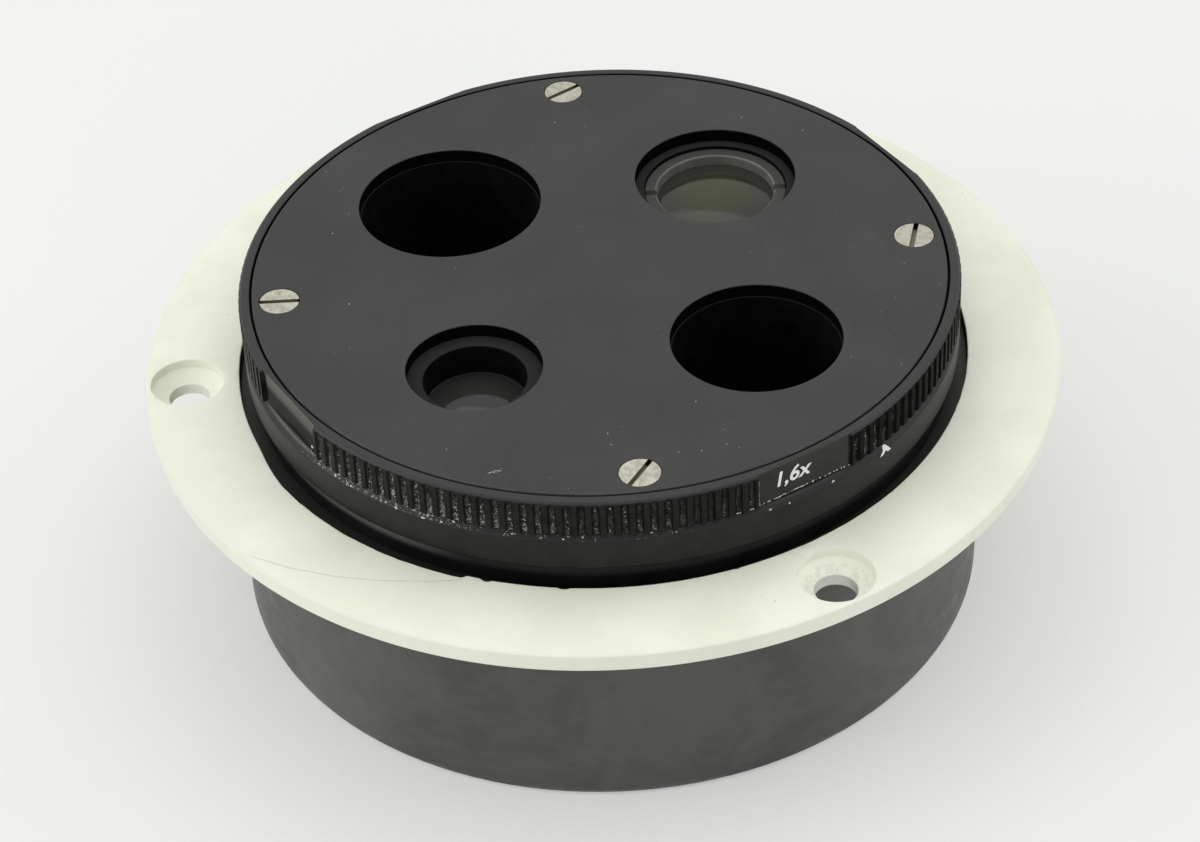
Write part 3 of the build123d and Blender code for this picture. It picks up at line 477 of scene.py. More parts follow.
def flange_paint():
    """Cream enamel: soft orange peel, a greyer outer rim, dirt specks, a fine crease and painted shade inside
    the opening.
    """
    f = Finish("flange_paint", Coat_Weight=0.12, Coat_Roughness=0.35)
    cloud = f.noise(11 * MM, 5, 0.55)
    peel = f.noise(0.9 * MM, 3, 0.5)
    fine = f.noise(0.16 * MM, 2, 0.5)
    tone = f.mixed(f.span(cloud, 0.35, 0.68), (0.86, 0.875, 0.745), (0.915, 0.925, 0.81))
    # greyer towards the outer rim
    rim = f.span(f.radius(), FLANGE_R - 0.5 * MM, FLANGE_R - 0.1 * MM, 0.0, 0.28)
    tone = f.mixed(rim, tone, (0.66, 0.67, 0.58))
    speck_spots = f.both(f.span(f.grains(2.6 * MM), 0.07, 0.035), f.span(cloud, 0.5, 0.62))
    tone = f.mixed(f.math("MULTIPLY", speck_spots, 0.7), tone, (0.42, 0.41, 0.35))
    inner = f.span(f.radius(), GRIP_R + 2.3 * MM, GRIP_R + 1.1 * MM)
    grime = f.both(inner, f.span(f.noise(1.6 * MM, 6, 0.65), 0.45, 0.7))
    tone = f.mixed(f.math("MULTIPLY", grime, 0.45), tone, (0.55, 0.54, 0.46))
    # painted shade in the gap by the index ring: the flange's inner wall and ledge below its top edge are
    # near black
    opening = f.span(f.radius(), GRIP_R + 2.7 * MM, GRIP_R + 2.5 * MM)
    painted_gap_shade = f.both(opening, f.span(f.height(), FLANGE_TOP - 0.24 * MM, FLANGE_TOP - 0.34 * MM))
    tone = f.mixed(painted_gap_shade, tone, (0.012, 0.012, 0.011))
    bare = hole_wear(f)
    tone = f.mixed(bare, tone, (0.56, 0.56, 0.56))
    crease = paint_crease(f)
    tone = f.mixed(f.math("MULTIPLY", crease, 0.26), tone, (0.3, 0.28, 0.22))
    f.paint(tone)
    f.metal(f.math("MULTIPLY", bare, 0.3))
    f.gloss(f.span(cloud, 0.3, 0.7, 0.42, 0.55))
    f.relief(peel, 0.045 * MM, 0.35)
    f.relief(fine, 0.01 * MM, 0.3)
    f.relief(f.math("SUBTRACT", 1.0, crease), 0.06 * MM, 0.7)
    return f


def hole_wear(f):
    """Bare metal in the screw holes, where heads and threads have rubbed the paint off."""
    worn = f.span(f.noise(0.9 * MM, 5, 0.6), 0.5, 0.56)
    total = 0.0
    for mount, share in zip(FLANGE_HOLES, HOLE_WEAR):
        x, y, z = mount["pos_m"]
        bore = mount["dims"]["r_mm"] * MM
        offset = f.node("VectorMath", {0: f.place, 1: (x, y, z)}, operation="SUBTRACT").outputs[0]
        flat = f.node("VectorMath", {0: offset, 1: (1, 1, 0)}, operation="MULTIPLY").outputs[0]
        reach = f.node("VectorMath", {0: flat}, operation="LENGTH").outputs["Value"]
        sunk = f.span(f.height(), FLANGE_TOP - 0.4 * MM, FLANGE_TOP - 0.9 * MM)
        wall = f.both(f.span(reach, bore + 0.15 * MM, bore + 0.02 * MM), sunk, share)
        seat = f.both(f.span(reach, bore + 1.9 * MM, bore + 1.2 * MM), sunk, worn, 0.35 * share)
        total = f.either(total, wall, seat)
    return total


def paint_crease(f):
    """Fine crease in the paint, wandering across the flange's left front."""
    wander = f.span(f.noise(9 * MM, 2, 0.5), 0.2, 0.8, -0.3 * MM, 0.3 * MM)
    base = outward(CREASE_FROM) * (FLANGE_R - 0.7 * MM)
    tip = outward(CREASE_TO) * (GRIP_R + 2.0 * MM)
    reach = (tip - base).length
    run = (tip - base).normalized()
    across = Vector((-run.y, run.x, 0))
    offset = f.node("VectorMath", {0: f.place, 1: base}, operation="SUBTRACT").outputs[0]
    side = f.node("VectorMath", {0: offset, 1: across}, operation="DOT_PRODUCT").outputs["Value"]
    along = f.node("VectorMath", {0: offset, 1: run}, operation="DOT_PRODUCT").outputs["Value"]
    bow = f.math("MULTIPLY", f.math("SINE", f.math("MULTIPLY", along, pi / reach)), -CREASE_BOW)
    miss = f.math("ABSOLUTE", f.math("ADD", f.math("SUBTRACT", side, bow), wander))
    line = f.span(miss, 0.13 * MM, 0.03 * MM)
    ends = f.both(f.span(along, 0, 1.5 * MM), f.span(along, reach, reach - 1 * MM))
    return f.both(line, ends, f.span(f.height(), FLANGE_TOP - 0.3 * MM, FLANGE_TOP - 0.1 * MM))


def black_satin():
    """Satin black anodising of the grip and index ring: edge rub, caught white dust, glossy lands."""
    f = Finish("black_satin")
    cloud = f.noise(5 * MM, 5, 0.6)
    fine = f.noise(0.12 * MM, 4, 0.6)
    turning = f.noise(0.09 * MM, 2, 0.5, f.stretched(0.02, 0.02, 1))
    radius = f.radius()
    height = f.height()
    above_seam = f.span(height, GRIP_Z - 0.1 * MM, GRIP_Z)
    tone = f.mixed(f.span(cloud, 0.35, 0.7), (0.004, 0.004, 0.004), (0.010, 0.010, 0.0095))
    tone = ring_tones(f, tone, radius, height)
    near_crest = f.span(radius, GRIP_R - 0.16 * MM, GRIP_R - 0.02 * MM)
    crest = f.both(near_crest, f.span(height, GRIP_Z - 0.1 * MM, GRIP_Z + 0.1 * MM))
    patchy = f.span(f.noise(0.5 * MM, 5, 0.7), 0.45, 0.7)
    rub = f.both(crest, patchy, f.either(f.towards(240, 40, 80), 0.2), 0.5)
    tone = f.mixed(rub, tone, (0.036, 0.036, 0.035))
    rim = f.span(height, TOP_Z - 0.5 * MM, TOP_Z - 0.1 * MM, 0.0, 0.9)
    tone = f.mixed(rim, tone, (0.034, 0.0345, 0.034))
    # painted shade: the grip's inner wall beside the plate's edge is near black, for the thin gap between
    # them
    seam = f.both(f.span(radius, PLATE_R + 0.36 * MM, PLATE_R + 0.3 * MM), above_seam)
    tone = f.mixed(seam, tone, (0.001, 0.001, 0.001))
    land = f.either(*(f.towards(angle, LAND_HALF - 0.3, LAND_HALF) for angle in LAND_ANGLES))
    on_land = f.both(land, above_seam)
    haze, dust = flute_dust(f, radius, height, f.math("SUBTRACT", 1.0, on_land))
    tone = f.mixed(haze, tone, (0.16, 0.158, 0.15))
    tone = f.mixed(dust, tone, (0.6, 0.59, 0.56))
    tone = f.mixed(f.both(chipped_edge(f, radius, height), 0.9), tone, (0.6, 0.58, 0.54))
    f.paint(tone)
    dull = f.either(dust, f.span(fine, 0.3, 0.75, 0.36, 0.52))
    f.gloss(f.math("SUBTRACT", dull, f.math("MULTIPLY", on_land, 0.26)))
    lower_half = f.span(height, TOP_Z - 0.6 * MM, GRIP_Z + 2.4 * MM)
    dim = f.both(f.towards(LEFT_LAND, LAND_HALF, LAND_HALF + 0.2), lower_half)
    below_rim = f.span(height, TOP_Z - 0.2 * MM, TOP_Z - 0.5 * MM)
    fluted = f.both(f.math("SUBTRACT", 1.0, land), below_rim, f.either(f.towards(340, 28, 42), 0.6))
    f.shine(f.span(f.both(f.either(dim, fluted), above_seam), 0, 1, 0.3, 0.02))
    f.relief(fine, 0.012 * MM, 0.5)
    f.relief(turning, 0.006 * MM, 0.35)
    f.relief(dust, 0.08 * MM, 0.6)
    return f


def ring_tones(f, tone, radius, height):
    """The tone, paler on the index ring's chamfer, with painted light on its neck, most at the left."""
    below_grip = f.span(height, RING_Z + 0.1 * MM, RING_Z)
    off_wall = f.span(radius, GRIP_R - 0.03 * MM, GRIP_R - 0.1 * MM)
    chamfer = f.both(off_wall, f.span(height, RING_Z - 0.9 * MM, RING_Z - 0.7 * MM))
    tone = f.mixed(f.both(chamfer, below_grip, 0.6), tone, (0.024, 0.024, 0.023))
    # painted light: the neck under the grip is made paler, most at the left, and fades to dark towards the
    # flange
    neck = f.both(f.span(radius, GRIP_R - 0.4 * MM, GRIP_R - 0.8 * MM), below_grip)
    left = f.either(f.towards(215, 14, 36), 0.18)
    off_flange = f.span(height, FLANGE_TOP - 0.3 * MM, FLANGE_TOP + 0.9 * MM)
    return f.mixed(f.both(neck, left, off_flange), tone, (0.125, 0.125, 0.123))


def flute_dust(f, radius, height, off_land):
    """Grey film and white specks caught in the flutes, thickest at the front left."""
    deep = f.both(f.span(radius, GRIP_R - 0.2 * MM, GRIP_R - 0.45 * MM), off_land)
    below_rim = f.span(height, TOP_Z - 0.5 * MM, TOP_Z - 1.1 * MM)
    on_grip = f.both(f.span(height, GRIP_Z - 0.2 * MM, GRIP_Z), below_rim)
    front = 0.1
    for angle, full, fade, share in DUSTY_SIDES:
        front = f.either(front, f.both(f.towards(angle, full, fade), share))
    cover = f.both(deep, on_grip, front, f.span(height, GRIP_Z + 4.6 * MM, GRIP_Z + 0.8 * MM, 0.5, 1.0))
    chain = f.noise(0.5 * MM, 5, 0.75, f.stretched(1, 1, 0.5))
    speck = f.noise(0.3 * MM, 4, 0.75, f.stretched(1, 1, 0.7))
    haze = f.both(f.span(chain, 0.42, 0.62), cover, 0.75)
    thick = f.math("ADD", speck, f.math("MULTIPLY", cover, 0.13))
    return haze, f.both(f.span(thick, 0.66, 0.74), f.span(cover, 0.1, 0.5))


def chipped_edge(f, radius, height):
    """White flecks along the grip's lower edge and the index ring's upper edge."""
    below = f.span(height, GRIP_Z + 0.35 * MM, GRIP_Z + 0.1 * MM)
    grip_edge = f.both(below, f.span(height, GRIP_Z - 0.1 * MM, GRIP_Z))
    above = f.span(height, RING_Z - 0.75 * MM, RING_Z - 0.6 * MM)
    ring_edge = f.both(above, f.span(height, RING_Z + 0.1 * MM, RING_Z))
    edges = f.either(grip_edge, ring_edge)
    outer = f.span(radius, GRIP_R - 1.0 * MM, GRIP_R - 0.8 * MM)
    where = f.either(f.towards(232, 10, 26), f.both(f.towards(262, 12, 28), 0.7), 0.15)
    fleck = f.noise(0.55 * MM, 5, 0.8)
    return f.both(f.span(f.math("ADD", fleck, f.math("MULTIPLY", where, 0.16)), 0.72, 0.77), edges, outer)


def plate_black():
    """Matte dark grey anodising with fine grain and scattered dust, and painted shade in its holes and at its
    outer edge.
    """
    f = Finish("plate_black", Specular_IOR_Level=0.38)
    cloud = f.noise(17 * MM, 5, 0.6)
    grain = f.noise(0.26 * MM, 5, 0.75)
    smear = f.noise(4.5 * MM, 7, 0.7, f.stretched(1, 0.45, 1), 0.8)
    tone = f.mixed(f.span(cloud, 0.35, 0.68), (0.022, 0.0228, 0.0222), (0.032, 0.0332, 0.0322))
    tone = f.mixed(f.span(grain, 0.36, 0.68, 0.0, 0.6), tone, (0.052, 0.053, 0.0515))
    tone = f.mixed(f.span(smear, 0.58, 0.8, 0.0, 0.2), tone, (0.085, 0.086, 0.085))
    dots = f.both(f.span(f.grains(1.9 * MM), 0.06, 0.03), f.span(f.noise(9 * MM, 3), 0.52, 0.6))
    tone = f.mixed(f.math("MULTIPLY", dots, 0.65), tone, (0.4, 0.4, 0.39))
    outer = f.span(f.radius(), PLATE_R - 0.4 * MM, PLATE_R - 0.1 * MM)
    tone = f.mixed(f.both(outer, f.span(smear, 0.42, 0.62), 0.5), tone, (0.11, 0.11, 0.11))
    # painted shade: the walls of the plate's holes and its outer edge are near black, rough and without shine
    sunk = f.span(f.height(), TOP_Z - 0.08 * MM, TOP_Z - 0.2 * MM)
    inside = f.both(sunk, f.span(f.radius(), PLATE_R - 1.5 * MM, PLATE_R - 2 * MM))
    rim = f.span(f.radius(), PLATE_R - 0.16 * MM, PLATE_R - 0.1 * MM)
    f.paint(f.mixed(f.either(inside, rim), tone, (0.002, 0.002, 0.002)))
    f.gloss(f.either(inside, f.span(grain, 0.3, 0.75, 0.46, 0.64)))
    f.shine(f.span(inside, 0, 1, 0.38, 0.02))
    f.relief(grain, 0.016 * MM, 0.7)
    return f


def tube_black():
    """Deep matte black, finely turned, with painted light on the faces that point up."""
    f = Finish("tube_black", Specular_IOR_Level=0.07)
    rings = f.noise(0.12 * MM, 2, 0.5, f.stretched(0.03, 0.03, 1))
    haze = f.noise(3 * MM, 4, 0.6)
    tone = f.mixed(f.span(haze, 0.35, 0.7), (0.002, 0.002, 0.002), (0.005, 0.005, 0.005))
    tone = f.mixed(f.span(rings, 0.55, 0.75, 0.0, 0.5), tone, (0.009, 0.009, 0.009))
    # painted light: faces that point up are paler
    f.paint(f.mixed(f.upward(), tone, (0.024, 0.024, 0.0235)))
    f.gloss(f.span(haze, 0.3, 0.7, 0.6, 0.8))
    f.relief(rings, 0.02 * MM, 0.6)
    return f


def plated(name, bright, dark, roughness, brush=(1, 1, 1), slot_z=None):
    """Worn metal plating: brushed lines, dull patches, tiny pits and grime in slots below a height."""
    f = Finish(name, Metallic=1.0)
    line = f.noise(0.11 * MM, 3, 0.6, f.stretched(*brush))
    patch = f.noise(1.1 * MM, 5, 0.65)
    pit = f.span(f.grains(0.55 * MM), 0.14, 0.05)
    tone = f.mixed(f.span(patch, 0.38, 0.66), bright, dark)
    tone = f.mixed(f.span(line, 0.45, 0.72, 0.0, 0.4), tone, tuple(0.55 * c for c in dark))
    tone = f.mixed(f.both(pit, f.span(patch, 0.5, 0.6), 0.8), tone, (0.05, 0.045, 0.04))
    if slot_z:
        grime = f.span(f.height(), slot_z + 0.05 * MM, slot_z - 0.1 * MM, 0.0, 0.85)
        tone = f.mixed(grime, tone, (0.14, 0.125, 0.09))
    f.paint(tone)
    f.gloss(f.span(patch, 0.3, 0.75, roughness, roughness + 0.2))
    f.relief(line, 0.012 * MM, 0.6)
    f.relief(pit, 0.02 * MM, 0.4)
    return f


def dark_anodised(name, low, high):
    """Dark anodised and turned aluminium for the inner works."""
    f = Finish(name, Specular_IOR_Level=0.45)
    cloud = f.noise(8 * MM, 5, 0.6)
    turning = f.noise(0.15 * MM, 2, 0.5, f.node("CombineXYZ", {0: f.radius(), 2: f.height()}).outputs[0])
    tone = f.mixed(f.span(cloud, 0.35, 0.68), (low, low, low * 1.05), (high, high, high * 1.05))
    f.paint(f.mixed(f.span(turning, 0.5, 0.75, 0.0, 0.4), tone, (high * 2, high * 2, high * 2)))
    f.gloss(f.span(cloud, 0.3, 0.7, 0.4, 0.55))
    f.relief(turning, 0.02 * MM, 0.6)
    return f


def retainer_grey():
    """Grey retaining ring, dull on top and paler where the glass lights its bore."""
    f = Finish("retainer_grey", Specular_IOR_Level=0.3)
    cloud = f.noise(2.5 * MM, 5, 0.6)
    tone = f.mixed(f.span(cloud, 0.35, 0.68), (0.13, 0.13, 0.115), (0.17, 0.17, 0.155))
    f.paint(f.mixed(f.upward(), tone, (0.045, 0.045, 0.042)))
    f.gloss(f.span(cloud, 0.3, 0.7, 0.45, 0.6))
    return f


def lens_glass(name, node, middle, outer, clear):
    """Coated lens glass: tinted middle, paler rim, slight haze and dust."""
    f = Finish(name, Transmission_Weight=clear, IOR=1.5, Specular_IOR_Level=0.4)
    low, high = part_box(node)
    centre = (low + high) / 2
    axis = (centre.x, centre.y, 0)
    offset = f.node("VectorMath", {0: f.stretched(1, 1, 0), 1: axis}, operation="SUBTRACT").outputs[0]
    reach = f.node("VectorMath", {0: offset}, operation="LENGTH").outputs["Value"]
    haze = f.noise(3.5 * MM, 5, 0.6)
    edge = (high - low).x / 2
    cloudy = f.span(haze, 0.3, 0.7, -0.15, 0.15)
    tone = f.mixed(f.math("ADD", f.span(reach, 0.25 * edge, 0.72 * edge), cloudy), middle, outer)
    tone = f.mixed(f.span(reach, 0.7 * edge, 0.86 * edge, 0.0, 0.5), tone, tuple(1.9 * c for c in outer))
    dots = f.both(f.span(f.grains(1.1 * MM), 0.06, 0.03), f.span(f.noise(5 * MM, 3), 0.5, 0.62))
    f.paint(f.mixed(f.math("MULTIPLY", dots, 0.3), tone, (0.4, 0.4, 0.38)))
    f.gloss(f.either(f.span(haze, 0.3, 0.8, 0.06, 0.16), f.math("MULTIPLY", dots, 0.5)))
    return f


def white_ink():
    """Printed white marking with worn spots."""
    f = Finish("white_marking", Roughness=0.5)
    wear = f.noise(0.35 * MM, 5, 0.7)
    f.paint(f.mixed(f.span(wear, 0.58, 0.7), (0.84, 0.84, 0.82), (0.45, 0.45, 0.44)))
    f.relief(wear, 0.01 * MM, 0.5)
    return f


def dried_dirt_and_glint():
    """Lumps of old white filler and lint; the same white gives the painted glint on the left land."""
    f = Finish("white_dirt_and_glint", Roughness=0.85)
    crumb = f.noise(0.12 * MM, 4, 0.7)
    f.paint(f.mixed(f.span(crumb, 0.35, 0.7), (0.78, 0.76, 0.72), (0.42, 0.40, 0.37)))
    f.relief(crumb, 0.05 * MM, 0.8)
    return f


def studio_floor():
    """Plain pale paper."""
    f = Finish("pale_paper", Roughness=0.85, Specular_IOR_Level=0.2, Emission_Strength=0.33)
    f.shader.inputs["Emission Color"].default_value = (1.0, 1.0, 0.985, 1)
    fibre = f.noise(0.8 * MM, 4, 0.6)
    shade = f.noise(0.25, 2, 0.5)
    tone = f.mixed(f.span(shade, 0.3, 0.7), (0.50, 0.51, 0.506), (0.535, 0.543, 0.54))
    f.paint(f.mixed(f.span(fibre, 0.4, 0.7, 0.0, 0.12), tone, (0.45, 0.45, 0.44)))
    f.relief(fibre, 0.02 * MM, 0.3)
    return f


# ---------------------------------------------------------------- housing pieces
def worn_edge(angle):
    """How far the painted inner edge is set back at one angle."""
    ragged = noise.fractal(outward(angle) * RAGGED_WAVES, 1.0, 2.1, 4)
    depth = RAGGED_DEPTH * max(0.0, ragged)
    if WORN_FROM < angle < WORN_TO:
        t = (angle - WORN_FROM) / (WORN_TO - WORN_FROM)
        swell = min(1.0, 1.6 * sin(pi * min(t, 0.5))) if t < 0.5 else 1.0 - 0.45 * (t - 0.5)
        fade = min(1.0, (WORN_TO - angle) / WORN_FADE)
        depth += WORN_DEPTH * swell * fade * (1 + 0.05 * ragged)
    for middle, half, deep in CHIPS:
        depth += deep * MM * max(0.0, 1 - ((angle - middle) / half) ** 2)
    return depth


def make_flange():
    """Painted flange with a worn inner edge and three screw holes."""
    outline = softened(section("mounting_flange", CLEAR_ANGLE), FLANGE_ROUND)
    opening = min(p.x for p in outline if p.y > FLANGE_TOP - 0.3 * MM)

    def place(r, z, angle):
        on_edge = opening - 0.01 * MM < r < opening + OPENING_BAND
        return r + worn_edge(angle) * on_edge, z

    flange = lathe("painted_flange", outline, even(FLANGE_STEPS), place)
    for mount in FLANGE_HOLES:
        x, y, z = mount["pos_m"]
        bore = mount["dims"]["r_mm"] * MM
        floor_z = FLANGE_TOP - FLANGE_RECESS_DEPTH
        shape = [
            (bore, flange_lo.z - MM), (bore, floor_z - DRILL_SLOPE * (FLANGE_RECESS_R - bore)),
            (FLANGE_RECESS_R, floor_z), (FLANGE_RECESS_R, FLANGE_TOP + MM),
        ]
        cut_away(flange, round_cutter(x, y, shape))
    bevelled(flange, HOLE_ROUND, 40)
    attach(flange, "housing")
    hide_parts("mounting_flange")
    return flange


def round_cutter(x, y, shape):
    """Solid of revolution about an upright line, from (radius, height) points going up."""
    bm = bmesh.new()
    rows = []
    for angle in even(HOLE_STEPS):
        c, s = cos(radians(angle)), sin(radians(angle))
        rows.append([bm.verts.new((x + r * c, y + r * s, z)) for r, z in shape])
    for a, b in zip(rows, rows[1:] + rows[:1]):
        for i in range(1, len(shape)):
            bm.faces.new((a[i - 1], b[i - 1], b[i], a[i]))
    bm.faces.new([row[0] for row in reversed(rows)])
    bm.faces.new([row[-1] for row in rows])
    return mesh_object("cutter", bm)


def make_index_ring():
    """Index ring with soft edges."""
    outline = softened(section("index_ring", CLEAR_ANGLE), RING_ROUND)
    ring = lathe("index_ring_bead", outline, even(RING_STEPS))
    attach(ring, "housing")
    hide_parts("index_ring")
    return ring


def on_ring(angle, z, radius):
    """Matrix whose local X runs round the ring, Y up and Z outwards."""
    c, s = cos(radians(angle)), sin(radians(angle))
    axes = Matrix(((-s, 0, c), (c, 0, s), (0, 1, 0))).to_4x4()
    return Matrix.Translation((radius * c, radius * s, z)) @ axes


def make_index_mark():
    """Painted chevron on the index ring, curved to its wall and bent over its chamfer."""
    half = INDEX_WIDTH / 2
    top = INDEX_HEIGHT / 2
    outline = [
        (-half, -top), (-half + INDEX_STROKE, -top), (0, top - INDEX_STROKE), (half - INDEX_STROKE, -top),
        (half, -top), (0.4 * INDEX_STROKE, top), (-0.4 * INDEX_STROKE, top),
    ]
    bm = bmesh.new()
    back = [bm.verts.new((x, y, -INDEX_SUNK)) for x, y in outline]
    front = [bm.verts.new((x, y, INDEX_PROUD)) for x, y in outline]
    bm.faces.new(front)
    bm.faces.new(reversed(back))
    for i in range(len(outline)):
        bm.faces.new((back[i - 1], back[i], front[i], front[i - 1]))
    bmesh.ops.triangulate(bm, faces=[f for f in bm.faces if len(f.verts) > 4])
    for vert in bm.verts:
        vert.co.z -= vert.co.x ** 2 / (2 * GRIP_R)
    bmesh.ops.transform(bm, matrix=on_ring(INDEX_ANGLE, RING_Z - INDEX_DROP, GRIP_R), verts=bm.verts)
    bend = RING_Z - RING_CHAMFER
    geometry = [*bm.verts, *bm.edges, *bm.faces]
    bmesh.ops.bisect_plane(bm, geom=geometry, dist=THIN_CUT, plane_co=(0, 0, bend), plane_no=(0, 0, 1))
    for vert in bm.verts:
        shrink = 1 - max(0.0, vert.co.z - bend) / vert.co.xy.length
        vert.co.x *= shrink
        vert.co.y *= shrink
    mark = mesh_object("index_mark", bm)
    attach(mark, "housing")
    return mark


def make_spring():
    """Click stop spring, a copy of the CAD spring with its own mesh."""
    node = frame["nodes"]["detent_spring"]
    spring = bpy.data.objects.new("click_spring", node.data.copy())
    spring.matrix_world = node.matrix_world
    bpy.context.scene.collection.objects.link(spring)
    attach(spring, "housing")
    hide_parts("detent_spring")
    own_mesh(spring)
    return spring


# ---------------------------------------------------------------- turret pieces
def grip_angles():
    """Angles that follow the flutes, the crests and the lands."""
    pitch = (SECTOR - 2 * LAND_HALF) / FLUTES
    half = FLUTE_SHARE * pitch / 2
    inner = LAND_HALF - LAND_RAMP
    angles = []
    for middle in LAND_ANGLES:
        angles += [middle - LAND_HALF, middle - LAND_HALF + LAND_RAMP]
        angles += [middle + inner * k / LAND_STEPS for k in range(1 - LAND_STEPS, LAND_STEPS)]
        angles += [middle + LAND_HALF - LAND_RAMP, middle + LAND_HALF]
        for n in range(FLUTES):
            centre = middle + LAND_HALF + pitch * (n + 0.5)
            angles += [centre - pitch / 2 + 0.05] if n else []
            angles += [centre + half * (2 * k / FLUTE_STEPS - 1) for k in range(FLUTE_STEPS + 1)]
    return angles, pitch, half


def land_wall(angle):
    """Radius of a land's flat face, at an angle from the land's middle."""
    return LAND_FACE / cos(radians(angle))


def make_grip():
    """Grip ring: arch-topped flutes that run out at the lower edge, and flat label lands."""
    angles, pitch, half = grip_angles()
    outline = softened(section("knurled_ring", CREST_ANGLE), GRIP_ROUND)
    wall = [p for p in outline if p.x > GRIP_R - 0.6 * MM]
    outline = divided(outline, FLUTE_CELL, lambda p: p.x > GRIP_R - 0.02 * MM)
    arch = radians(half) * GRIP_R
    arch_z = max(p.y for p in wall) - FLUTE_TOP - arch

    def place(r, z, angle):
        if r < GRIP_R - WALL_DEPTH:
            return r, z
        from_land = (angle - LAND_ANGLE + SECTOR / 2) % SECTOR - SECTOR / 2
        if abs(from_land) <= LAND_HALF:
            ramp = min(1.0, (LAND_HALF - abs(from_land)) / LAND_RAMP)
            return min(r, r + (land_wall(from_land) - r) * ramp), z
        step = (angle - LAND_ANGLE - LAND_HALF) % SECTOR
        across = (step % pitch - pitch / 2) / half
        above = max(0.0, z - arch_z) / arch
        depth = FLUTE_DEPTH * max(0.0, 1 - across ** 2 - above ** 2)
        return min(r, GRIP_R - depth), z

    grip = lathe("fluted_grip", outline, sorted(a % 360 for a in angles), place)
    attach(grip, "turret")
    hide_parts("knurled_ring")
    return grip


def make_label(name, text, angle):
    """Printed numerals on a land, as a thin mesh."""
    curve = bpy.data.curves.new(name, "FONT")
    curve.body = text
    curve.size = LABEL_SIZE
    curve.align_x = "CENTER"
    curve.align_y = "CENTER"
    curve.shear = LABEL_SLANT
    curve.offset = LABEL_BOLD
    curve.extrude = LABEL_THICK / 2
    curve.resolution_u = 6
    shape = bpy.data.objects.new(name + "_curve", curve)
    bpy.context.scene.collection.objects.link(shape)
    graph = bpy.context.evaluated_depsgraph_get()
    mesh = bpy.data.meshes.new_from_object(shape.evaluated_get(graph))
    bpy.data.objects.remove(shape)
    bm = bmesh.new()
    bm.from_mesh(mesh)
    bmesh.ops.remove_doubles(bm, verts=bm.verts, dist=THIN_CUT)
    middle = on_ring(angle, (GRIP_Z + TOP_Z) / 2 + LABEL_LIFT, LAND_FACE + 0.2 * LABEL_THICK)
    slide = Matrix.Translation((radians(LABEL_SHIFT) * LAND_FACE, 0, 0))
    bmesh.ops.transform(bm, matrix=middle @ slide, verts=bm.verts)
    label = mesh_object(name, bm)
    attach(label, "turret")
    return label


# ---------------------------------------------------------------- dirt
def lump(bm, centre, size, flatten, normal):
    """A crumb pressed on a surface."""
    made = bmesh.ops.create_icosphere(bm, subdivisions=2, radius=size)["verts"]
    seed = Vector((rng.uniform(0, 99), rng.uniform(0, 99), rng.uniform(0, 99)))
    turn = normal.to_track_quat("Z", "Y").to_matrix()
    spread = 1 + rng.random()
    for vert in made:
        rough = 1 + 0.35 * noise.noise(vert.co / size * 1.3 + seed)
        local = Vector((vert.co.x * spread, vert.co.y, vert.co.z * flatten)) * rough
        vert.co = Vector(centre) + turn @ local


def crumbs_at(angle, z, radius):
    """Place and outward direction of a crumb on the ring's wall."""
    way = outward(angle)
    return way * radius + Vector((0, 0, z)), way


def make_grip_crumbs_and_glint():
    """Crumbs in the flutes, along the grip's lower edge and on the front land, and a painted glint on the
    left land.
    """
    bm = bmesh.new()
    for low, high, share, scale in FLUTE_DIRT:
        flute_crumbs(bm, low, high, share, scale)
    land_crumbs(bm)
    dirt = mesh_object("grip_crumbs_and_glint", bm)
    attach(dirt, "turret")
    return dirt


def flute_crumbs(bm, low, high, share, scale):
    """Crumbs in a share of the flutes between two angles."""
    pitch = grip_angles()[1]
    for k in range(LANDS * FLUTES):
        land, n = divmod(k, FLUTES)
        middle = (LAND_ANGLES[land] + LAND_HALF + pitch * (n + 0.5)) % 360
        if not low < middle < high or rng.random() > share:
            continue
        for _ in range(rng.randint(2, 7)):
            z = GRIP_Z + rng.uniform(0.1, 3.9) ** 1.1 * MM
            size = rng.uniform(0.035, 0.085) * MM * scale
            place, way = crumbs_at(middle + rng.uniform(-0.2, 0.2), z, GRIP_R - FLUTE_DEPTH + 0.05 * MM)
            lump(bm, place, size, CRUMB_HEIGHT, way)


def land_crumbs(bm):
    """Dirt along the front land's lower edge, left end and top edge, and a painted glint on the left land,
    made as one white crumb.
    """
    for _ in range(LINE_CRUMBS):
        angle = rng.uniform(FRONT_LAND - 12, FRONT_LAND + LAND_HALF + 1)
        on_land = abs(angle - FRONT_LAND) < LAND_HALF
        radius = land_wall(angle - FRONT_LAND) if on_land else GRIP_R - 0.3 * MM
        place, way = crumbs_at(angle, GRIP_Z + rng.uniform(0.05, 0.2) * MM, radius)
        lump(bm, place, rng.uniform(0.04, 0.1) * MM, CRUMB_HEIGHT, way)
    for k in range(END_CRUMBS):
        height = GRIP_Z + (0.5 + 0.45 * k) * MM
        place, way = crumbs_at(FRONT_LAND - LAND_HALF + 0.25, height, LAND_FACE + 0.55 * MM)
        lump(bm, place, rng.uniform(0.04, 0.09) * MM, CRUMB_HEIGHT, way)
    for k in range(EDGE_CRUMBS):
        from_land = 4.6 + 0.2 * k
        place, way = crumbs_at(FRONT_LAND + from_land, TOP_Z - 0.12 * MM, land_wall(from_land) - 0.05 * MM)
        lump(bm, place, rng.uniform(0.04, 0.08) * MM, CRUMB_HEIGHT, way)
    # painted highlight: this white crumb on the left land stands for a glint
    place, way = crumbs_at(LEFT_LAND + 6.8, GRIP_Z + 0.9 * MM, land_wall(6.8))
    lump(bm, place, 0.22 * MM, 0.3, way)


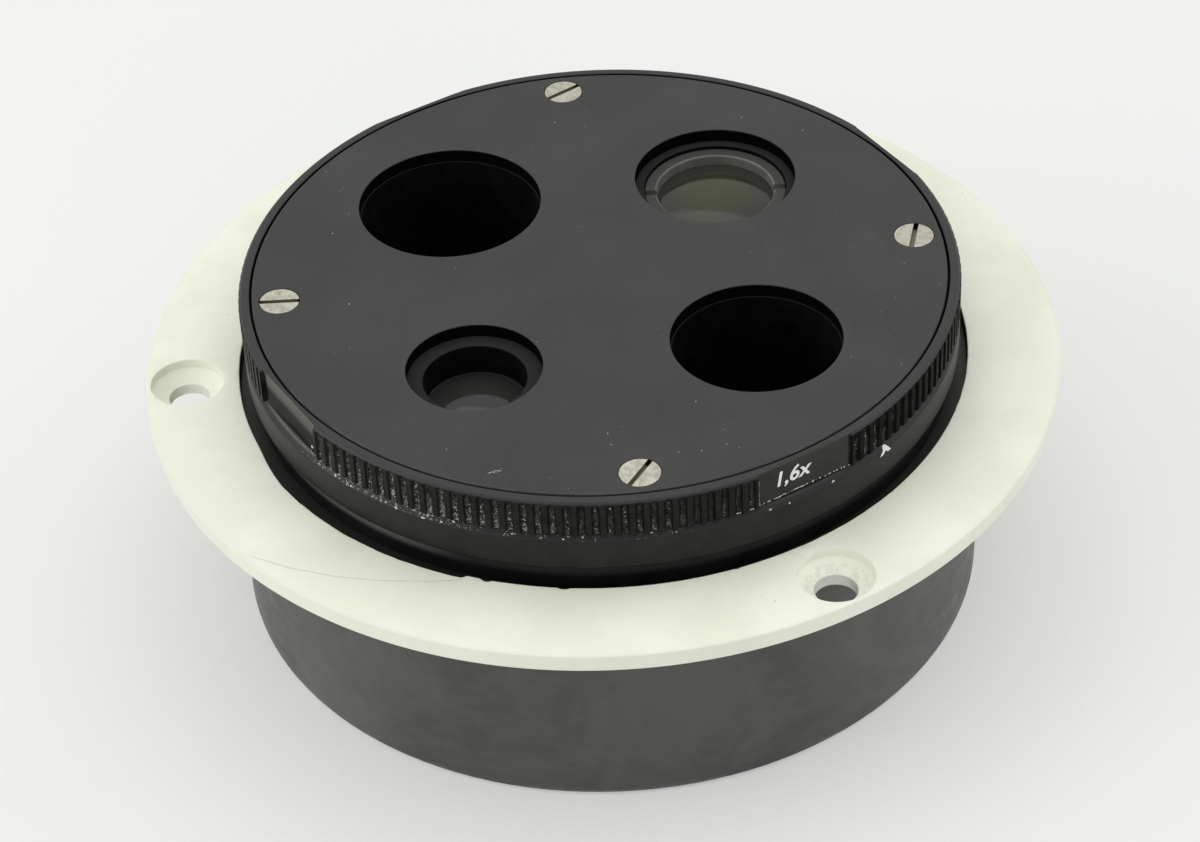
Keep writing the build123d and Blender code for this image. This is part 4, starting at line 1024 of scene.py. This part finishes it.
def make_ring_dirt():
    """Crumbs on the index ring's chamfer, under the grip."""
    bm = bmesh.new()
    for low, high, count in RING_DIRT:
        for _ in range(count):
            angle = rng.uniform(low, high)
            rise = rng.uniform(0.1, 0.7) * MM
            place, way = crumbs_at(angle, RING_Z - rise, GRIP_R - RING_CHAMFER + rise)
            lump(bm, place, rng.uniform(0.05, 0.13) * MM, CRUMB_HEIGHT, way + Vector((0, 0, 0.7)))
    dirt = mesh_object("index_ring_dirt", bm)
    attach(dirt, "housing")
    return dirt


def make_plate_dust():
    """A few grains and one lint smear on the plate."""
    bm = bmesh.new()
    strays = [(rng.uniform(-40, 40), rng.uniform(-40, 40)) for _ in range(STRAY_SPECKS)]
    boxes = [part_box(node) for node in PLATE_TUBES]
    for x, y in (*PLATE_SPECKS, *strays):
        point = Vector((x * MM, y * MM, TOP_Z))
        clear = all(((lo + hi) / 2 - point).xy.length > (hi - lo).x / 2 for lo, hi in boxes)
        if clear and point.xy.length < PLATE_R - 2 * MM:
            lump(bm, point, rng.uniform(0.04, 0.085) * MM, 0.4, Vector((0, 0, 1)))
    for k in range(SMEAR_CRUMBS):
        x = SMEAR_START[0] + SMEAR_STEP[0] * k
        y = SMEAR_START[1] + SMEAR_STEP[1] * k + rng.uniform(-0.2, 0.2)
        point = Vector((x, y, TOP_Z / MM)) * MM
        lump(bm, point, rng.uniform(0.03, 0.07) * MM, 0.3, Vector((0, 0, 1)))
    dust = mesh_object("plate_dust", bm)
    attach(dust, "turret")
    return dust


# ---------------------------------------------------------------- build and finish the pieces
SLOT_OF = {part["node"]: part["material_slot"] for part in record["subparts"]}
EDGE_WIDTHS = {                # in mm
    **dict.fromkeys((*PLATE_TUBES, "top_plate", "spindle", "spindle_nut", "detent_disc"), 0.1),
    **dict.fromkeys(("telescope_upper_retainer", "telescope_lower_retainer", "reducer_lower_retainer"), 0.06),
    **dict.fromkeys(("top_plate_screws", "base_plate_screws"), 0.07),
    **dict.fromkeys(("detent_sleeve", "detent_adjuster"), 0.08),
    "turret_carrier": 0.12, "base_plate": 0.15, "drum_housing": 0.2,
}


def finish_nodes(finishes, replaced):
    """Gives every CAD node that stays its finish and, where seen, rounded edges."""
    for node, obj in frame["nodes"].items():
        if node in replaced:
            continue
        if node in EDGE_WIDTHS:
            refine_node(node, EDGE_WIDTHS[node] * MM)
        give([obj], finishes[SLOT_OF[node]])


def make_camera():
    """Camera at the photograph's place."""
    camera = bpy.data.objects.new("camera", bpy.data.cameras.new("camera"))
    bpy.context.scene.collection.objects.link(camera)
    camera.data.sensor_width = CAMERA_SENSOR
    camera.data.lens = CAMERA_LENS
    camera.data.clip_end = 20
    pitch = Euler((radians(90 - CAMERA_PITCH), 0, 0)).to_matrix().to_4x4()
    roll = Matrix.Rotation(radians(CAMERA_ROLL), 4, "Z")
    camera.matrix_world = Matrix.Translation(CAMERA_PLACE) @ pitch @ roll
    bpy.context.scene.camera = camera


def area_light(name, place, size, power, tint):
    """Square soft light."""
    light = bpy.data.lights.new(name, "AREA")
    light.size = size
    light.energy = power
    light.color = tint
    obj = bpy.data.objects.new(name, light)
    bpy.context.scene.collection.objects.link(obj)
    way = Vector(LIGHT_TARGET) - Vector(place)
    obj.matrix_world = Matrix.Translation(place) @ way.to_track_quat("-Z", "Y").to_matrix().to_4x4()


def make_studio():
    """Pale floor and surroundings, and soft lights above and at both sides."""
    bm = bmesh.new()
    bmesh.ops.create_grid(bm, x_segments=2, y_segments=2, size=FLOOR_SIZE)
    ground = mesh_object("pale_floor", bm)
    ground.location.z = cad_box[0].z - 0.02 * MM
    give([ground], studio_floor())
    world = bpy.data.worlds.new("soft_white")
    world.use_nodes = True
    back = next(n for n in world.node_tree.nodes if n.type == "BACKGROUND")
    back.inputs["Color"].default_value = SKY_COLOUR
    back.inputs["Strength"].default_value = SKY_STRENGTH
    bpy.context.scene.world = world
    for light in LIGHTS:
        area_light(*light)
    bpy.context.scene.view_settings.view_transform = "Standard"


make_camera()
make_studio()
ink = white_ink()
finishes = {
    "drum_skin": drum_skin(),
    "flange_paint": flange_paint(),
    "black_satin": black_satin(),
    "plate_black": plate_black(),
    "tube_black": tube_black(),
    "bright_screw": plated(
        "bright_screw", (0.64, 0.62, 0.53), (0.47, 0.45, 0.385), 0.34, (1, 0.12, 1), TOP_Z - 0.5 * MM
    ),
    "machine_screw": plated("machine_screw", (0.42, 0.42, 0.43), (0.26, 0.26, 0.27), 0.35),
    "base_metal": dark_anodised("base_metal", 0.03, 0.06),
    "carrier_metal": dark_anodised("carrier_metal", 0.02, 0.045),
    "bearing_steel": plated("bearing_steel", (0.7, 0.7, 0.71), (0.5, 0.5, 0.52), 0.18, (0.1, 0.1, 1)),
    "brass": plated("brass", (0.8, 0.6, 0.28), (0.55, 0.4, 0.18), 0.3, (0.1, 0.1, 1)),
    "coated_glass": lens_glass(
        "coated_glass", "telescope_upper_lens", (0.045, 0.047, 0.019), (0.034, 0.034, 0.030), 0.15
    ),
}
grey_glass = lens_glass(
    "grey_glass", "reducer_upper_lens", (0.036, 0.036, 0.035), (0.038, 0.038, 0.037), 0.15
)
give([make_flange()], finishes["flange_paint"])
give([make_index_ring(), make_grip()], finishes["black_satin"])
give([make_index_mark()], ink)
for land, text in LABELS:
    give([make_label(f"land_label_{land + 1}", text, LAND_ANGLES[land])], ink)
give([make_spring()], finishes["bearing_steel"])
give([make_grip_crumbs_and_glint(), make_ring_dirt(), make_plate_dust()], dried_dirt_and_glint())
finish_nodes(finishes, ("mounting_flange", "index_ring", "knurled_ring", "detent_spring"))
give([frame["nodes"]["reducer_upper_lens"]], grey_glass)
give([frame["nodes"]["telescope_upper_retainer"]], retainer_grey())
